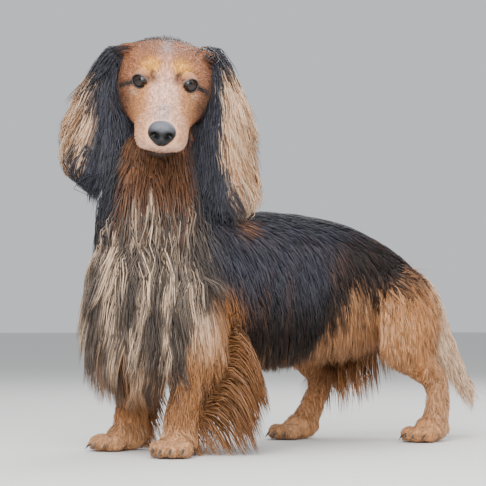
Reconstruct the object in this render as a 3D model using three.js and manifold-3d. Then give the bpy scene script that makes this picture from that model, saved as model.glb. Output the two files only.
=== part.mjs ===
// A long-haired dachshund, adult and standing, with its head raised and turned to its left.
// Millimetres, +Z up. The dog faces -Y, its left side is +X, and its paws stand on Z = 0.
// Flesh and short coat are lofts through measured sections. The long coat is flat, tapered locks.
import * as THREE from "three";
import { mergeVertices } from "three/addons/utils/BufferGeometryUtils.js";
import Module from "manifold-3d";

const wasm = await Module();
wasm.setup();

// Driving dimensions
const WITHERS_HEIGHT = 242;
const TRUNK_LENGTH = 430;
const CHEST_WIDTH = 124;
const HEAD_LENGTH = 186;
const EYE_RADIUS = 10.5;
const GAP = 0.3;

const DOWN = new THREE.Vector3(0, 0, -1);
const BACK = new THREE.Vector3(0, 1, 0);
const LEFT = new THREE.Vector3(1, 0, 0);

// Seeded draws, so that each build gives the same coat
let seed = 20240611;
function draw(low, high) {
  seed = (Math.imul(seed ^ (seed >>> 15), seed | 1) + 0x6d2b79f5) | 0;
  const mixed = seed ^ (seed + Math.imul(seed ^ (seed >>> 7), seed | 61));
  const unit = ((mixed ^ (mixed >>> 14)) >>> 0) / 4294967296;
  return low + (high - low) * unit;
}

// Closed solids from three.js geometry, and back
function solidFrom(geometry) {
  const bare = geometry.clone();
  bare.deleteAttribute("normal");
  bare.deleteAttribute("uv");
  const merged = mergeVertices(bare, 1e-4);
  const triVerts = new Uint32Array(merged.index.array);
  const made = new wasm.Manifold(
    new wasm.Mesh({ numProp: 3, vertProperties: merged.attributes.position.array, triVerts }),
  );
  if (made.volume() > 0) return made;
  for (let i = 0; i < triVerts.length; i += 3) {
    [triVerts[i + 1], triVerts[i + 2]] = [triVerts[i + 2], triVerts[i + 1]];
  }
  return new wasm.Manifold(
    new wasm.Mesh({ numProp: 3, vertProperties: merged.attributes.position.array, triVerts }),
  );
}

function geometryFrom(solid) {
  const mesh = solid.getMesh();
  const positions = new Float32Array(mesh.numVert * 3);
  for (let i = 0; i < mesh.numVert; i++) {
    positions.set(mesh.vertProperties.subarray(i * mesh.numProp, i * mesh.numProp + 3), i * 3);
  }
  const geometry = new THREE.BufferGeometry();
  geometry.setAttribute("position", new THREE.BufferAttribute(positions, 3));
  geometry.setIndex(new THREE.BufferAttribute(new Uint32Array(mesh.triVerts), 1));
  geometry.computeVertexNormals();
  return geometry;
}

// The same solid with its surface moved out along its normals
function grown(solid, by) {
  const geometry = geometryFrom(solid);
  const { position, normal } = geometry.attributes;
  for (let i = 0; i < position.count; i++) {
    position.setXYZ(
      i,
      position.getX(i) + by * normal.getX(i),
      position.getY(i) + by * normal.getY(i),
      position.getZ(i) + by * normal.getZ(i),
    );
  }
  return solidFrom(geometry);
}

const moved = (solid, matrix) => solid.transform([...matrix.elements]);
const joined = (solids) => solids.reduce((whole, piece) => whole.add(piece));

function largest(solid) {
  return solid.decompose().sort((a, b) => b.volume() - a.volume())[0];
}

// The one body left of a solid where its neighbours, each a gap larger all round, are cut away
function clearOf(solid, neighbours) {
  const without = (rest, other) => rest.subtract(grown(other, GAP)).subtract(other);
  return largest(neighbours.reduce(without, solid));
}

// Keeps what lies in front of a plane, half a gap clear of it
function inFrontOf(solid, plane) {
  return solid.trimByPlane(plane.normal.toArray(), GAP / 2 - plane.constant);
}

const behind = (solid, plane) => inFrontOf(solid, plane.clone().negate());

function planeThrough(point, normal) {
  return new THREE.Plane().setFromNormalAndCoplanarPoint(normal.clone().normalize(), point);
}

// A closed skin over rings of equal length, fanned shut at both ends, or drawn out to a tip
function skinOver(rings, tip) {
  const sides = rings[0].length;
  const middle = (ring) => ring.reduce((sum, p) => sum.clone().add(p)).divideScalar(sides);
  const points = [...rings.flat(), middle(rings[0]), tip ?? middle(rings.at(-1))];
  const faces = [];
  for (let s = 0; s < sides; s++) {
    const next = (s + 1) % sides;
    for (let r = 0; r + 1 < rings.length; r++) {
      const [a, b] = [r * sides + s, r * sides + next];
      faces.push(a, b, b + sides, a, b + sides, a + sides);
    }
    const lastRing = (rings.length - 1) * sides;
    faces.push(points.length - 2, next, s);
    faces.push(points.length - 1, lastRing + s, lastRing + next);
  }
  const geometry = new THREE.BufferGeometry().setFromPoints(points);
  return solidFrom(geometry.setIndex(faces));
}

// Rows of numbers eased into count rows by a Catmull-Rom curve in each column
function eased(rows, count) {
  const last = rows.length - 1;
  return Array.from({ length: count }, (_, i) => {
    const place = (i / (count - 1)) * last;
    const k = Math.min(Math.floor(place), last - 1);
    const t = place - k;
    const row = (j) => rows[Math.max(0, Math.min(last, j))];
    return rows[0].map((_, c) => {
      const [p0, p1, p2, p3] = [row(k - 1)[c], row(k)[c], row(k + 1)[c], row(k + 2)[c]];
      const [m1, m2] = [(p2 - p0) / 2, (p3 - p1) / 2];
      return (
        (2 * t ** 3 - 3 * t ** 2 + 1) * p1 +
        (t ** 3 - 2 * t ** 2 + t) * m1 +
        (3 * t ** 2 - 2 * t ** 3) * p2 +
        (t ** 3 - t ** 2) * m2
      );
    });
  });
}

const squared = (value, power) => Math.sign(value) * Math.abs(value) ** power;

// Upright sections along Y: rows of y, low, middle, high and half width
function barrelRings(rows, count, sides, power = 0.88) {
  return eased(rows, count).map(([y, low, middle, high, half]) =>
    Array.from({ length: sides }, (_, s) => {
      const angle = (2 * Math.PI * s) / sides;
      const [across, up] = [squared(Math.cos(angle), power), squared(Math.sin(angle), power)];
      return new THREE.Vector3(half * across, y, middle + up * (up > 0 ? high - middle : middle - low));
    }),
  );
}

// Sections square to a bent centreline: rows of x, y, z, half width and half depth
function limbRings(rows, count, sides, width = LEFT) {
  const stations = eased(rows, count);
  return stations.map(([x, y, z, half, deep], i) => {
    const before = stations[Math.max(0, i - 1)];
    const after = stations[Math.min(count - 1, i + 1)];
    const along = new THREE.Vector3(...after).sub(new THREE.Vector3(...before)).normalize();
    const across = width.clone().addScaledVector(along, -width.dot(along)).normalize();
    const depth = new THREE.Vector3().crossVectors(along, across);
    return Array.from({ length: sides }, (_, s) => {
      const angle = (2 * Math.PI * s) / sides;
      return new THREE.Vector3(x, y, z)
        .addScaledVector(across, half * Math.cos(angle))
        .addScaledVector(depth, deep * Math.sin(angle));
    });
  });
}

function ellipsoid(centre, radii, around = 12, down = 8) {
  const geometry = new THREE.SphereGeometry(1, around, down);
  geometry.rotateX(Math.PI / 2).scale(...radii).translate(...centre);
  return solidFrom(geometry);
}

// The point and outward normal at u along and v around a skin's rings
function pointOn(rings, u, v) {
  const sides = rings[0].length;
  const along = u * (rings.length - 1);
  const around = (((v % 1) + 1) % 1) * sides;
  const ring = Math.min(Math.floor(along), rings.length - 2);
  const side = Math.floor(around);
  const corner = (r, s) => rings[ring + r][(side + s) % sides];
  const edge = (r) => corner(r, 0).clone().lerp(corner(r, 1), around - side);
  const at = edge(0).lerp(edge(1), along - ring);
  const round = corner(0, 1).clone().sub(corner(0, 0));
  const out = new THREE.Vector3().crossVectors(edge(1).sub(edge(0)), round);
  const middle = rings[ring].reduce((sum, p) => sum.clone().add(p)).divideScalar(sides);
  out.normalize();
  return { at, out: out.dot(at.clone().sub(middle)) < 0 ? out.negate() : out };
}

// One lock of long hair: a flat blade whose root is sunk in its body, that bends from its lie to the floor
const LOCK_WIDTHS = [0.75, 1, 0.62];
const LOCK_FLATNESS = 0.3;
const LOCK_SINK = 5;
function lock(at, out, lie, { length, width, droop, lift }) {
  const way = lie.clone().normalize();
  const place = at.clone().addScaledVector(out, -LOCK_SINK).addScaledVector(way, -LOCK_SINK);
  const sway = draw(-0.25, 0.25);
  const rings = LOCK_WIDTHS.map((share, k) => {
    const t = k / LOCK_WIDTHS.length;
    const heading = way.clone().addScaledVector(DOWN, droop * t).addScaledVector(out, lift * (1 - 1.4 * t));
    const across = new THREE.Vector3().crossVectors(heading, out).normalize();
    heading.addScaledVector(across, sway * Math.sin(Math.PI * 1.5 * t)).normalize();
    const flat = new THREE.Vector3().crossVectors(across, heading).normalize();
    const half = (share * width) / 2;
    const ring = [across, flat, across.clone().negate(), flat.clone().negate()].map((side, i) =>
      place.clone().addScaledVector(side, i % 2 ? half * LOCK_FLATNESS : half),
    );
    place.addScaledVector(heading, (length + LOCK_SINK) / LOCK_WIDTHS.length);
    return ring;
  });
  return skinOver(rings, place);
}

// Rows and columns of locks over part of a skin, each a little different from the next
function locksOver(rings, [u0, u1], [v0, v1], rows, columns, shape) {
  const { lie, length, width, droop = 0.6, lift = 0.3 } = shape;
  const locks = [];
  for (let r = 0; r < rows; r++) {
    for (let c = 0; c < columns; c++) {
      const shift = r % 2 ? 0.25 : -0.25;
      const u = u0 + ((u1 - u0) * (r + 0.5 + draw(-0.2, 0.2))) / rows;
      const v = v0 + ((v1 - v0) * (c + 0.5 + shift + draw(-0.12, 0.12))) / columns;
      const { at, out } = pointOn(rings, Math.max(0, Math.min(0.999, u)), v);
      const way = typeof lie === "function" ? lie(at, out) : new THREE.Vector3(...lie);
      const size = { length: length * draw(0.82, 1.12), width: width * draw(0.85, 1.15), droop, lift };
      locks.push(lock(at, out, way, size));
    }
  }
  return locks;
}

const mirrored = (rows, side) => rows.map(([x, ...rest]) => [side * x, ...rest]);

// Trunk: one loft from forechest to buttocks, parted into chest, barrel and rump
const trunkRows = [
  [-0.118, 0.5, 0.62, 0.71, 0.1],
  [-0.105, 0.42, 0.6, 0.79, 0.3],
  [-0.07, 0.35, 0.58, 0.87, 0.4],
  [-0.02, 0.33, 0.57, 0.93, 0.46],
  [0.05, 0.33, 0.57, 0.975, 0.49],
  [0.14, 0.335, 0.58, 0.99, 0.495],
  [0.25, 0.35, 0.58, 0.995, 0.49],
  [0.37, 0.38, 0.6, 1.0, 0.47],
  [0.48, 0.415, 0.62, 0.99, 0.45],
  [0.59, 0.445, 0.64, 0.96, 0.44],
  [0.68, 0.47, 0.64, 0.905, 0.43],
  [0.76, 0.49, 0.63, 0.835, 0.39],
  [0.82, 0.52, 0.63, 0.755, 0.3],
  [0.85, 0.56, 0.63, 0.7, 0.17],
].map(([y, low, middle, high, half]) => [
  y * TRUNK_LENGTH,
  low * WITHERS_HEIGHT,
  middle * WITHERS_HEIGHT,
  high * WITHERS_HEIGHT,
  half * CHEST_WIDTH,
]);
const CHEST_END = 90;
const BARREL_END = 250;
const chestPlane = planeThrough(new THREE.Vector3(0, CHEST_END, 0), BACK);
const rumpPlane = planeThrough(new THREE.Vector3(0, BARREL_END, 0), BACK);
const neckPlane = planeThrough(new THREE.Vector3(0, -52, 184), new THREE.Vector3(0, -0.46, 0.89));
const trunkSkin = barrelRings(trunkRows, 21, 20);
const trunk = skinOver(trunkSkin);

// Head frame: its origin is the middle of the braincase, and it faces its own -Y
const headGroup = new THREE.Group();
headGroup.position.set(9.7, 11.6, 357.7);
headGroup.rotation.set(
  THREE.MathUtils.degToRad(21.2),
  THREE.MathUtils.degToRad(4.7),
  THREE.MathUtils.degToRad(52.4),
  "ZXY",
);
headGroup.updateMatrix();
const fromHead = headGroup.matrix.clone();
const toHead = fromHead.clone().invert();
const napePlane = planeThrough(new THREE.Vector3(0, -4, -42), new THREE.Vector3(0, -0.58, 0.81));

// Neck: rises almost upright from the withers and forechest to the back of the skull
const neckRows = [
  [0, 14, 160, 44, 50],
  [0, 10, 205, 50, 55],
  [-1, 8, 240, 50, 53],
  [-4, 14, 272, 46, 49],
  [-6, 24, 302, 41, 43],
  [-5, 30, 332, 37, 37],
  [-2, 26, 362, 30, 28],
];
const neckSkin = limbRings(neckRows, 10, 16);
const neckCore = skinOver(neckSkin);
const neckTop = napePlane.clone().applyMatrix4(fromHead);
const trunkAndNeck = trunk.add(neckCore);
const neck = behind(inFrontOf(behind(trunkAndNeck, chestPlane), neckPlane), neckTop);
const chest = behind(behind(trunkAndNeck, neckPlane), chestPlane);
const barrel = behind(inFrontOf(trunk, chestPlane), rumpPlane);
const rump = inFrontOf(trunk, rumpPlane);

// Head, in its own frame: skull and upper muzzle, with y, low, middle, high and half width
const headUnit = HEAD_LENGTH / 186;
const headRows = [
  [63, -2, 10, 22, 10],
  [54, -22, 8, 33, 28],
  [34, -36, 6, 41, 41],
  [8, -42, 4, 43.5, 46],
  [-16, -42, 2, 40, 45],
  [-34, -41, -2, 31, 41],
  [-48, -40, -8, 20, 33],
  [-58, -40, -13, 13.5, 29],
  [-72, -40.5, -18, 7, 27],
  [-90, -41, -22, 1, 25.5],
  [-106, -40.3, -24.3, -4.3, 24],
  [-116, -37.3, -24.3, -7.3, 21],
  [-122, -32.3, -22.3, -10.3, 15],
].map((row) => row.map((size) => size * headUnit));
const jawRows = [
  [4, -47, -34, -26, 22],
  [-26, -49, -36, -24, 22],
  [-54, -49.5, -37, -26, 20],
  [-80, -50, -38.5, -29.5, 16.5],
  [-100, -48.3, -39.3, -32.3, 13],
  [-109, -43.3, -38.3, -34.3, 7],
].map((row) => row.map((size) => size * headUnit));
const noseCentre = [0, -121, -18.8];
const NOSE_RADII = [12.8, 9.5, 11.5];
const eyeCentre = [21, -42, 12];
const EYE_TURN = THREE.MathUtils.degToRad(24);

// Each nostril is a round hole with a slit that runs out to its side
const noseBall = ellipsoid(noseCentre, NOSE_RADII, 12, 7);
const nostrils = [-1, 1].flatMap((side) => [
  ellipsoid([side * 5.8, noseCentre[1] - 9, noseCentre[2] - 1], [3.3, 5.5, 2.9], 6, 4),
  ellipsoid([side * 9.6, noseCentre[1] - 5.5, noseCentre[2] - 3.5], [3.2, 5, 1.5], 6, 4),
]);
const nose = largest(noseBall.subtract(joined(nostrils)));

function almond(width, height, depth) {
  const shape = new THREE.Shape();
  shape.moveTo(-width / 2, 0);
  shape.quadraticCurveTo(0, height, width / 2, 0);
  shape.quadraticCurveTo(0, -height, -width / 2, 0);
  const geometry = new THREE.ExtrudeGeometry(shape, { depth, bevelEnabled: false, curveSegments: 6 });
  return geometry.rotateX(Math.PI / 2);
}

function eyePlace(side) {
  const place = new THREE.Matrix4().makeRotationZ(side * EYE_TURN);
  return place.setPosition(side * eyeCentre[0], eyeCentre[1], eyeCentre[2]);
}

const eyeSphere = (side, radius) =>
  ellipsoid([side * eyeCentre[0], eyeCentre[1], eyeCentre[2]], Array(3).fill(radius), 12, 8);

const lowerJaw = skinOver(barrelRings(jawRows, 8, 12));
const skullShape = skinOver(barrelRings(headRows, 17, 18, 0.9));
const cheeksAndBrows = [-1, 1].flatMap((side) => [
  ellipsoid([side * 29, -8, -15], [14, 25, 18], 10, 6),
  ellipsoid([side * 18, -31, 20], [12, 12, 10], 8, 6),
  eyeSphere(side, EYE_RADIUS + 2),
]);
const eyeOpenings = [-1, 1].flatMap((side) => [
  moved(solidFrom(almond(15.5, 11.5, 24)), eyePlace(side)),
  eyeSphere(side, EYE_RADIUS + GAP),
]);
const headAndNeck = joined([skullShape, moved(neckCore, toHead), ...cheeksAndBrows]);
const headWhole = headAndNeck.subtract(joined(eyeOpenings));
const head = largest(
  inFrontOf(headWhole.subtract(grown(noseBall, GAP)).subtract(grown(lowerJaw, GAP)), napePlane),
);
const jaw = largest(inFrontOf(lowerJaw, napePlane));

// Ears: leaves hung high on the skull and lifted outwards, in rows of front edge, back edge and height
const earRightRows = [
  [34, 44, 31],
  [44, 58, 27],
  [46, 66, 13],
  [45.5, 73, -7],
  [41, 79, -27],
  [34, 80, -46],
  [29, 78, -66],
  [29, 70, -82],
  [36, 58, -92],
];
const earLeftRows = [
  [32, 40, 37],
  [41, 51, 35],
  [42.5, 62, 20],
  [44.5, 69, 3],
  [43, 75, -15],
  [37, 78, -34],
  [32, 80, -56],
  [36, 79, -77],
  [44, 74, -94],
  [52, 66, -103],
];
const EAR_SWEEP = 0.55;
const EAR_HANG = 0.42;
const EAR_THICKNESS = 4;
const EAR_CUP = 0.16;

function leafRings(rows, side, count, sides) {
  return eased(rows, count).map(([front, back, z]) => {
    const half = (back - front) / 2;
    const foot = 10 - EAR_HANG * (30 - z) + EAR_SWEEP * half;
    const cup = EAR_CUP * half;
    return Array.from({ length: sides }, (_, s) => {
      const angle = (2 * Math.PI * s) / sides;
      const across = Math.cos(angle);
      const out = cup * (1 - across * across) + EAR_THICKNESS * Math.sin(angle);
      const x = front + half * (1 + across) + out * 0.5;
      return new THREE.Vector3(side * x, foot + EAR_SWEEP * half * across - out * 0.85, z);
    });
  });
}

// The ear's leather, its fringe of locks along the back edge and its tassel below, in the dog's frame
function ear(rows, side, fringe, tassel) {
  const rings = leafRings(rows, side, 11, 10).map((ring) => ring.map((p) => p.applyMatrix4(fromHead)));
  const outwards = new THREE.Vector3(side * 0.8, 0.45, -0.35).transformDirection(fromHead);
  const hanging = new THREE.Vector3(side * 0.12, -0.3, -1).transformDirection(fromHead);
  const edge = locksOver(rings, [0.24, 0.9], [-0.04, 0.04], 7, 1, {
    lie: () => outwards.clone().addScaledVector(DOWN, draw(0.5, 1.1)),
    length: fringe,
    width: 20,
    lift: 0,
  });
  const face = locksOver(rings, [0.45, 0.8], [0.15, 0.4], 1, 2, {
    lie: () => hanging,
    length: fringe + 20,
    width: 20,
    lift: 0.2,
  });
  const tip = locksOver(rings, [0.88, 0.97], [0, 0.5], 1, 4, {
    lie: () => hanging,
    length: tassel,
    width: 18,
    lift: 0,
  });
  const core = clearOf(skinOver(rings), [headInDog, jawInDog, neck, chest]);
  return { core, locks: [...edge, ...face, ...tip] };
}

// Legs: rows of x, y, z, half width and half depth for the left side, from the trunk down
const foreRows = [
  [42, 14, 172, 17, 27],
  [50, 20, 138, 20, 29],
  [53, 22, 106, 21, 26],
  [51, 16, 76, 18.5, 21],
  [49, 8, 50, 17, 18],
  [48, 3, 30, 17, 18],
  [48, 1, 14, 16.5, 18],
];
const hindLeftRows = [
  [32, 322, 172, 19, 38],
  [46, 312, 150, 23, 42],
  [55, 298, 124, 23, 37],
  [60, 291, 104, 19, 29],
  [62, 309, 86, 15, 21],
  [61, 336, 66, 13, 15.5],
  [61, 341, 44, 13, 14.5],
  [61, 338, 24, 14.5, 15.5],
  [61, 334, 12, 14.5, 16],
];
const FORE_STRIDE = 12;
const HIND_STRIDE = -79;
const HIP_HEIGHT = 174;
const strideAt = (z, stride) => stride * (1 - THREE.MathUtils.smoothstep(z, 0, HIP_HEIGHT));
const stepped = (rows, stride) => rows.map(([x, y, z, ...rest]) => [x, y + strideAt(z, stride), z, ...rest]);
const foreRightRows = stepped(foreRows, FORE_STRIDE);
const hindRightRows = stepped(hindLeftRows, HIND_STRIDE);
const PAW_TOP = 22;
const pawPlane = planeThrough(new THREE.Vector3(0, 0, PAW_TOP), new THREE.Vector3(0, 0, 1));
const floorPlane = planeThrough(new THREE.Vector3(0, 0, -GAP / 2), new THREE.Vector3(0, 0, 1));

function leg(rows, side) {
  const rings = limbRings(mirrored(rows, side), 12, 12);
  return { rings, core: clearOf(inFrontOf(skinOver(rings), pawPlane), [trunkAndNeck]) };
}

// Paws: a pad, four toes with their claws, flat where they stand. They face -Y before they turn
const TOES = [
  [-14.5, -22],
  [-5.2, -29],
  [5.2, -29],
  [14.5, -22],
];
function paw(rows, side, x, y, turn) {
  const toes = TOES.flatMap(([toeX, toeY]) => {
    const claw = new THREE.ConeGeometry(2.4, 11, 3).rotateX(-Math.PI / 2 - 0.5);
    claw.translate(toeX, toeY - 14.5, 6.5);
    return [ellipsoid([toeX, toeY, 8.5], [6.6, 12, 9], 6, 4), solidFrom(claw)];
  });
  const foot = joined([ellipsoid([0, -3, 13], [20, 26, 16], 10, 6), ...toes]);
  const place = new THREE.Matrix4().makeRotationZ(THREE.MathUtils.degToRad(turn)).setPosition(x, y, 0);
  const ankle = skinOver(limbRings(mirrored(rows, side), 12, 12));
  return largest(inFrontOf(behind(moved(foot, place).add(ankle), pawPlane), floorPlane));
}

// Tail: set on low behind the croup, hanging and lifting a little at its end
const tailRows = [
  [0, 350, 174, 15, 15],
  [0, 372, 162, 14, 14],
  [1, 390, 142, 11, 11],
  [2, 404, 118, 9, 9],
  [3, 418, 96, 7, 7],
  [4, 432, 78, 5, 5],
  [5, 442, 66, 3, 3],
];
const tailSkin = limbRings(tailRows, 10, 10);
const tail = clearOf(skinOver(tailSkin), [trunkAndNeck]);

// Materials, as the eye reads each part from a step away
const coat = (colour) => new THREE.MeshStandardMaterial({ color: colour, roughness: 0.75, metalness: 0 });
const red = coat(0xa9683c);
const black = coat(0x2b2727);
const grizzle = coat(0x8f7a60);
const tan = coat(0xc08550);
const cream = coat(0xd9b58a);
const leather = new THREE.MeshStandardMaterial({ color: 0x1d1b1c, roughness: 0.35, metalness: 0 });
const eyeGlass = new THREE.MeshStandardMaterial({ color: 0x2a1b12, roughness: 0.05, metalness: 0 });

const headInDog = moved(head, fromHead);
const jawInDog = moved(jaw, fromHead);
const earLeft = ear(earLeftRows, 1, 30, 48);
const earRight = ear(earRightRows, -1, 28, 34);
const foreLeft = leg(foreRows, 1);
const foreRight = leg(foreRightRows, -1);
const hindLeft = leg(hindLeftRows, 1);
const hindRight = leg(hindRightRows, -1);

// How the long coat lies on each part
const ruffLie = (at) => new THREE.Vector3(at.x * 0.004, 0.15 + at.y * 0.004, -1);
const chestLie = (at) => new THREE.Vector3(at.x * 0.004, -0.12, -1);
const sideLie = (at, out) => new THREE.Vector3(out.x * 0.15, 0.55, -0.8);
const thighLie = (at, out) => new THREE.Vector3(out.x * 0.1, 0.4, -0.9);
const neckLocks = locksOver(neckSkin, [0.5, 0.24], [0.5, 1.0], 2, 6, {
  lie: ruffLie,
  length: 72,
  width: 27,
  lift: 0.25,
});
const napeLocks = locksOver(neckSkin, [0.55, 0.35], [0.08, 0.42], 1, 3, {
  lie: [0, 0.7, -0.7],
  length: 56,
  width: 30,
});
const frontLocks = locksOver(trunkSkin, [0.0, 0.19], [0.52, 0.98], 3, 4, {
  lie: chestLie,
  length: 64,
  width: 30,
  lift: 0.16,
});
const keelLocks = locksOver(trunkSkin, [0.16, 0.36], [0.66, 0.84], 3, 2, {
  lie: [0, 0.3, -1],
  length: 38,
  width: 28,
});
const shoulderLocks = locksOver(trunkSkin, [0.24, 0.36], [0.0, 0.1], 1, 2, {
  lie: sideLie,
  length: 80,
  width: 30,
});
const belly = { lie: sideLie, length: 50, width: 28, lift: 0.1 };
const bellyLeft = locksOver(trunkSkin, [0.42, 0.68], [0.84, 0.98], 4, 2, belly);
const bellyRight = locksOver(trunkSkin, [0.42, 0.68], [0.52, 0.66], 4, 2, belly);
const rumpLocks = locksOver(trunkSkin, [0.84, 0.95], [0.0, 0.5], 1, 3, {
  lie: thighLie,
  length: 44,
  width: 28,
});
const tailLocks = locksOver(tailSkin, [0.15, 0.95], [0.12, 0.4], 4, 2, {
  lie: [0, 0.2, -1],
  length: 50,
  width: 20,
});

// Feathers down the back of each leg
const feathersOf = (limb, span, rows, shape) => locksOver(limb.rings, span, [0.66, 0.86], rows, 2, shape);
const foreLeftFeathers = feathersOf(foreLeft, [0.25, 0.7], 4, {
  lie: [0, 1, -0.2],
  length: 74,
  width: 22,
  droop: 1.2,
});
const foreRightFeathers = feathersOf(foreRight, [0.3, 0.75], 3, {
  lie: [0, 0.7, -0.7],
  length: 50,
  width: 22,
});
const hindLeftFeathers = feathersOf(hindLeft, [0.15, 0.6], 3, {
  lie: [0, 0.5, -1],
  length: 50,
  width: 24,
});
const hindRightFeathers = feathersOf(hindRight, [0.08, 0.45], 4, {
  lie: [0, 0.45, -1],
  length: 96,
  width: 24,
});

// Each part with its core, its locks, its coat's colour and, on the head, its group
const coats = [
  ["chest", chest, [...frontLocks, ...keelLocks, ...shoulderLocks], grizzle],
  ["neck", neck, [...neckLocks, ...napeLocks], grizzle],
  ["foreleg_left", foreLeft.core, foreLeftFeathers, tan],
  ["foreleg_right", foreRight.core, foreRightFeathers, tan],
  ["ear_left", earLeft.core, earLeft.locks, black, headGroup],
  ["ear_right", earRight.core, earRight.locks, black, headGroup],
  ["barrel", barrel, [...bellyLeft, ...bellyRight], black],
  ["rump", rump, rumpLocks, tan],
  ["tail", tail, tailLocks, cream],
  ["hindleg_left", hindLeft.core, hindLeftFeathers, tan],
  ["hindleg_right", hindRight.core, hindRightFeathers, tan],
  ["forepaw_left", paw(foreRows, 1, 49, 0, 34), [], tan],
  ["forepaw_right", paw(foreRightRows, -1, -47, 10, -6), [], tan],
  ["hindpaw_left", paw(hindLeftRows, 1, 61, 332, 6), [], tan],
  ["hindpaw_right", paw(hindRightRows, -1, -60, 253, -4), [], tan],
  ["head", headInDog, [], red, headGroup],
  ["lower_jaw", jawInDog, [], red, headGroup],
];

const dog = new THREE.Group();
dog.add(headGroup);

function node(name, solid, material, group = dog) {
  const mesh = new THREE.Mesh(geometryFrom(solid), material);
  mesh.name = name;
  group.add(mesh);
}

// Locks keep clear of every other part, of the locks set before them and of the floor
const laid = [];
for (const [name, core, locks, material, group] of coats) {
  let whole = core;
  if (locks.length) {
    const others = coats.filter((row) => row[0] !== name).map((row) => row[1]);
    let free = inFrontOf(joined(locks), floorPlane);
    for (const other of [...others, ...laid]) free = free.subtract(grown(other, GAP)).subtract(other);
    laid.push(free);
    whole = largest(core.add(free));
  }
  node(name, group ? moved(whole, toHead) : whole, material, group);
}
node("nose", nose, leather, headGroup);
node("eye_left", eyeSphere(1, EYE_RADIUS), eyeGlass, headGroup);
node("eye_right", eyeSphere(-1, EYE_RADIUS), eyeGlass, headGroup);

// The origin is on the floor, under the middle of the whole dog
const reach = new THREE.Box3().setFromObject(dog, true);
dog.position.set(-(reach.min.x + reach.max.x) / 2, -(reach.min.y + reach.max.y) / 2, 0);

export default dog;
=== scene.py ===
import math

import bmesh
import bpy
import numpy as np
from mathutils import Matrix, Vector
from mathutils.bvhtree import BVHTree
from mathutils.kdtree import KDTree


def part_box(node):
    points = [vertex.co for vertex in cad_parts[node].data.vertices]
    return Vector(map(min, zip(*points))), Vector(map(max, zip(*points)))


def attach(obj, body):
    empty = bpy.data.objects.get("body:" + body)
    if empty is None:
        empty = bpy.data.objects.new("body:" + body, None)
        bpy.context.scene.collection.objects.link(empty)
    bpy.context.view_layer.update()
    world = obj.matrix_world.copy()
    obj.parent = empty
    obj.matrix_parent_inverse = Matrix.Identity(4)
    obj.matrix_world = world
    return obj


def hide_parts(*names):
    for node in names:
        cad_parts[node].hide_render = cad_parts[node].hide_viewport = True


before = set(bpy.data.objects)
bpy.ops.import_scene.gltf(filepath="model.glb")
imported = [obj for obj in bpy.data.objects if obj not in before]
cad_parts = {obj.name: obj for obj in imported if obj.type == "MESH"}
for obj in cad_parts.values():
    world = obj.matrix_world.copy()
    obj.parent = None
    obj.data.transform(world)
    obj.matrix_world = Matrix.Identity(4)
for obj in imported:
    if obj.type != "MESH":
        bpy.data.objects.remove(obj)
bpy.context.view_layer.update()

# Camera: on the dog's left front, at the height of its elbow and a metre and a half away, on a long
# lens. The picture's width and the lens's focal length are in pixels of the picture.
CAMERA_AT = np.array([1235.4, -917.0, 119.7])
CAMERA_AZIMUTH = math.radians(50)
CAMERA_RISE = math.radians(3.1)
PICTURE_WIDTH, FOCAL_LENGTH, SENSOR_WIDTH = 486, 1586, 36
# All sizes are in millimetres in the dog's frame, with the front feet at y = 0. The head has a frame
# of its own, from the middle of the braincase, facing -Y, turned to the dog's left, bowed and a
# little tilted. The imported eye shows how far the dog's frame lies from the model's.
MM_PER_M = 1000
HEAD_AT = np.array([9.7, 11.6, 357.7])
HEAD_TURN, HEAD_BOW, HEAD_TILT = (math.radians(a) for a in (52.4, 21.2, 4.7))
EYE_AT = np.array([21.0, -42.0, 12.0])


def turned(axis, angle):
    """The rotation matrix about x, y or z."""
    c, s = math.cos(angle), math.sin(angle)
    i, j = [(1, 2), (2, 0), (0, 1)][axis]
    m = np.eye(3)
    m[i, i], m[i, j], m[j, i], m[j, j] = c, -s, s, c
    return m


HEAD_FRAME = turned(2, HEAD_TURN) @ turned(0, HEAD_BOW) @ turned(1, HEAD_TILT)
eye_low, eye_high = (np.array(corner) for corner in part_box("eye_left"))
SHIFT = HEAD_FRAME @ EYE_AT + HEAD_AT - MM_PER_M * (eye_low + eye_high) / 2


def in_model(points):
    return (np.asarray(points) - SHIFT) / MM_PER_M


camera = bpy.data.objects.new("camera", bpy.data.cameras.new("camera"))
camera.data.sensor_width = SENSOR_WIDTH
camera.data.lens = FOCAL_LENGTH / PICTURE_WIDTH * SENSOR_WIDTH
camera.data.clip_start = 0.05
camera.location = in_model(CAMERA_AT)
camera.rotation_euler = (math.pi / 2 + CAMERA_RISE, 0, CAMERA_AZIMUTH)
bpy.context.scene.collection.objects.link(camera)
bpy.context.scene.camera = camera

# Studio: an even pale room with four soft lights. One is high on the camera's left, a weaker one on
# its right, one behind the dog that catches the edges of the coat, and one low by the camera that
# shines in the eyes. Their azimuths and rises are in degrees, their distances and sizes in metres.
LIGHTS_AIM = Vector((0, 0, 0.2))
world = bpy.data.worlds.new("studio")
bpy.context.scene.world = world
world.use_nodes = True
world.node_tree.nodes["Background"].inputs["Color"].default_value = (0.93, 0.96, 1.0, 1)
world.node_tree.nodes["Background"].inputs["Strength"].default_value = 0.72
for label, azimuth, rise, away, size, watts in (
    ("key", 15, 60, 1.7, 1.0, 21),
    ("fill", 100, 42, 2.0, 1.6, 10),
    ("rim", 205, 48, 1.7, 1.2, 26),
    ("catch", 44, 20, 1.4, 0.95, 32),
):
    light = bpy.data.objects.new(label, bpy.data.lights.new(label, "AREA"))
    light.data.size = size
    light.data.energy = watts
    a, e = math.radians(azimuth), math.radians(rise)
    way = Vector((math.sin(a) * math.cos(e), -math.cos(a) * math.cos(e), math.sin(e)))
    light.location = LIGHTS_AIM + away * way
    light.rotation_euler = way.to_track_quat("Z", "Y").to_euler()
    bpy.context.scene.collection.objects.link(light)

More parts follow.
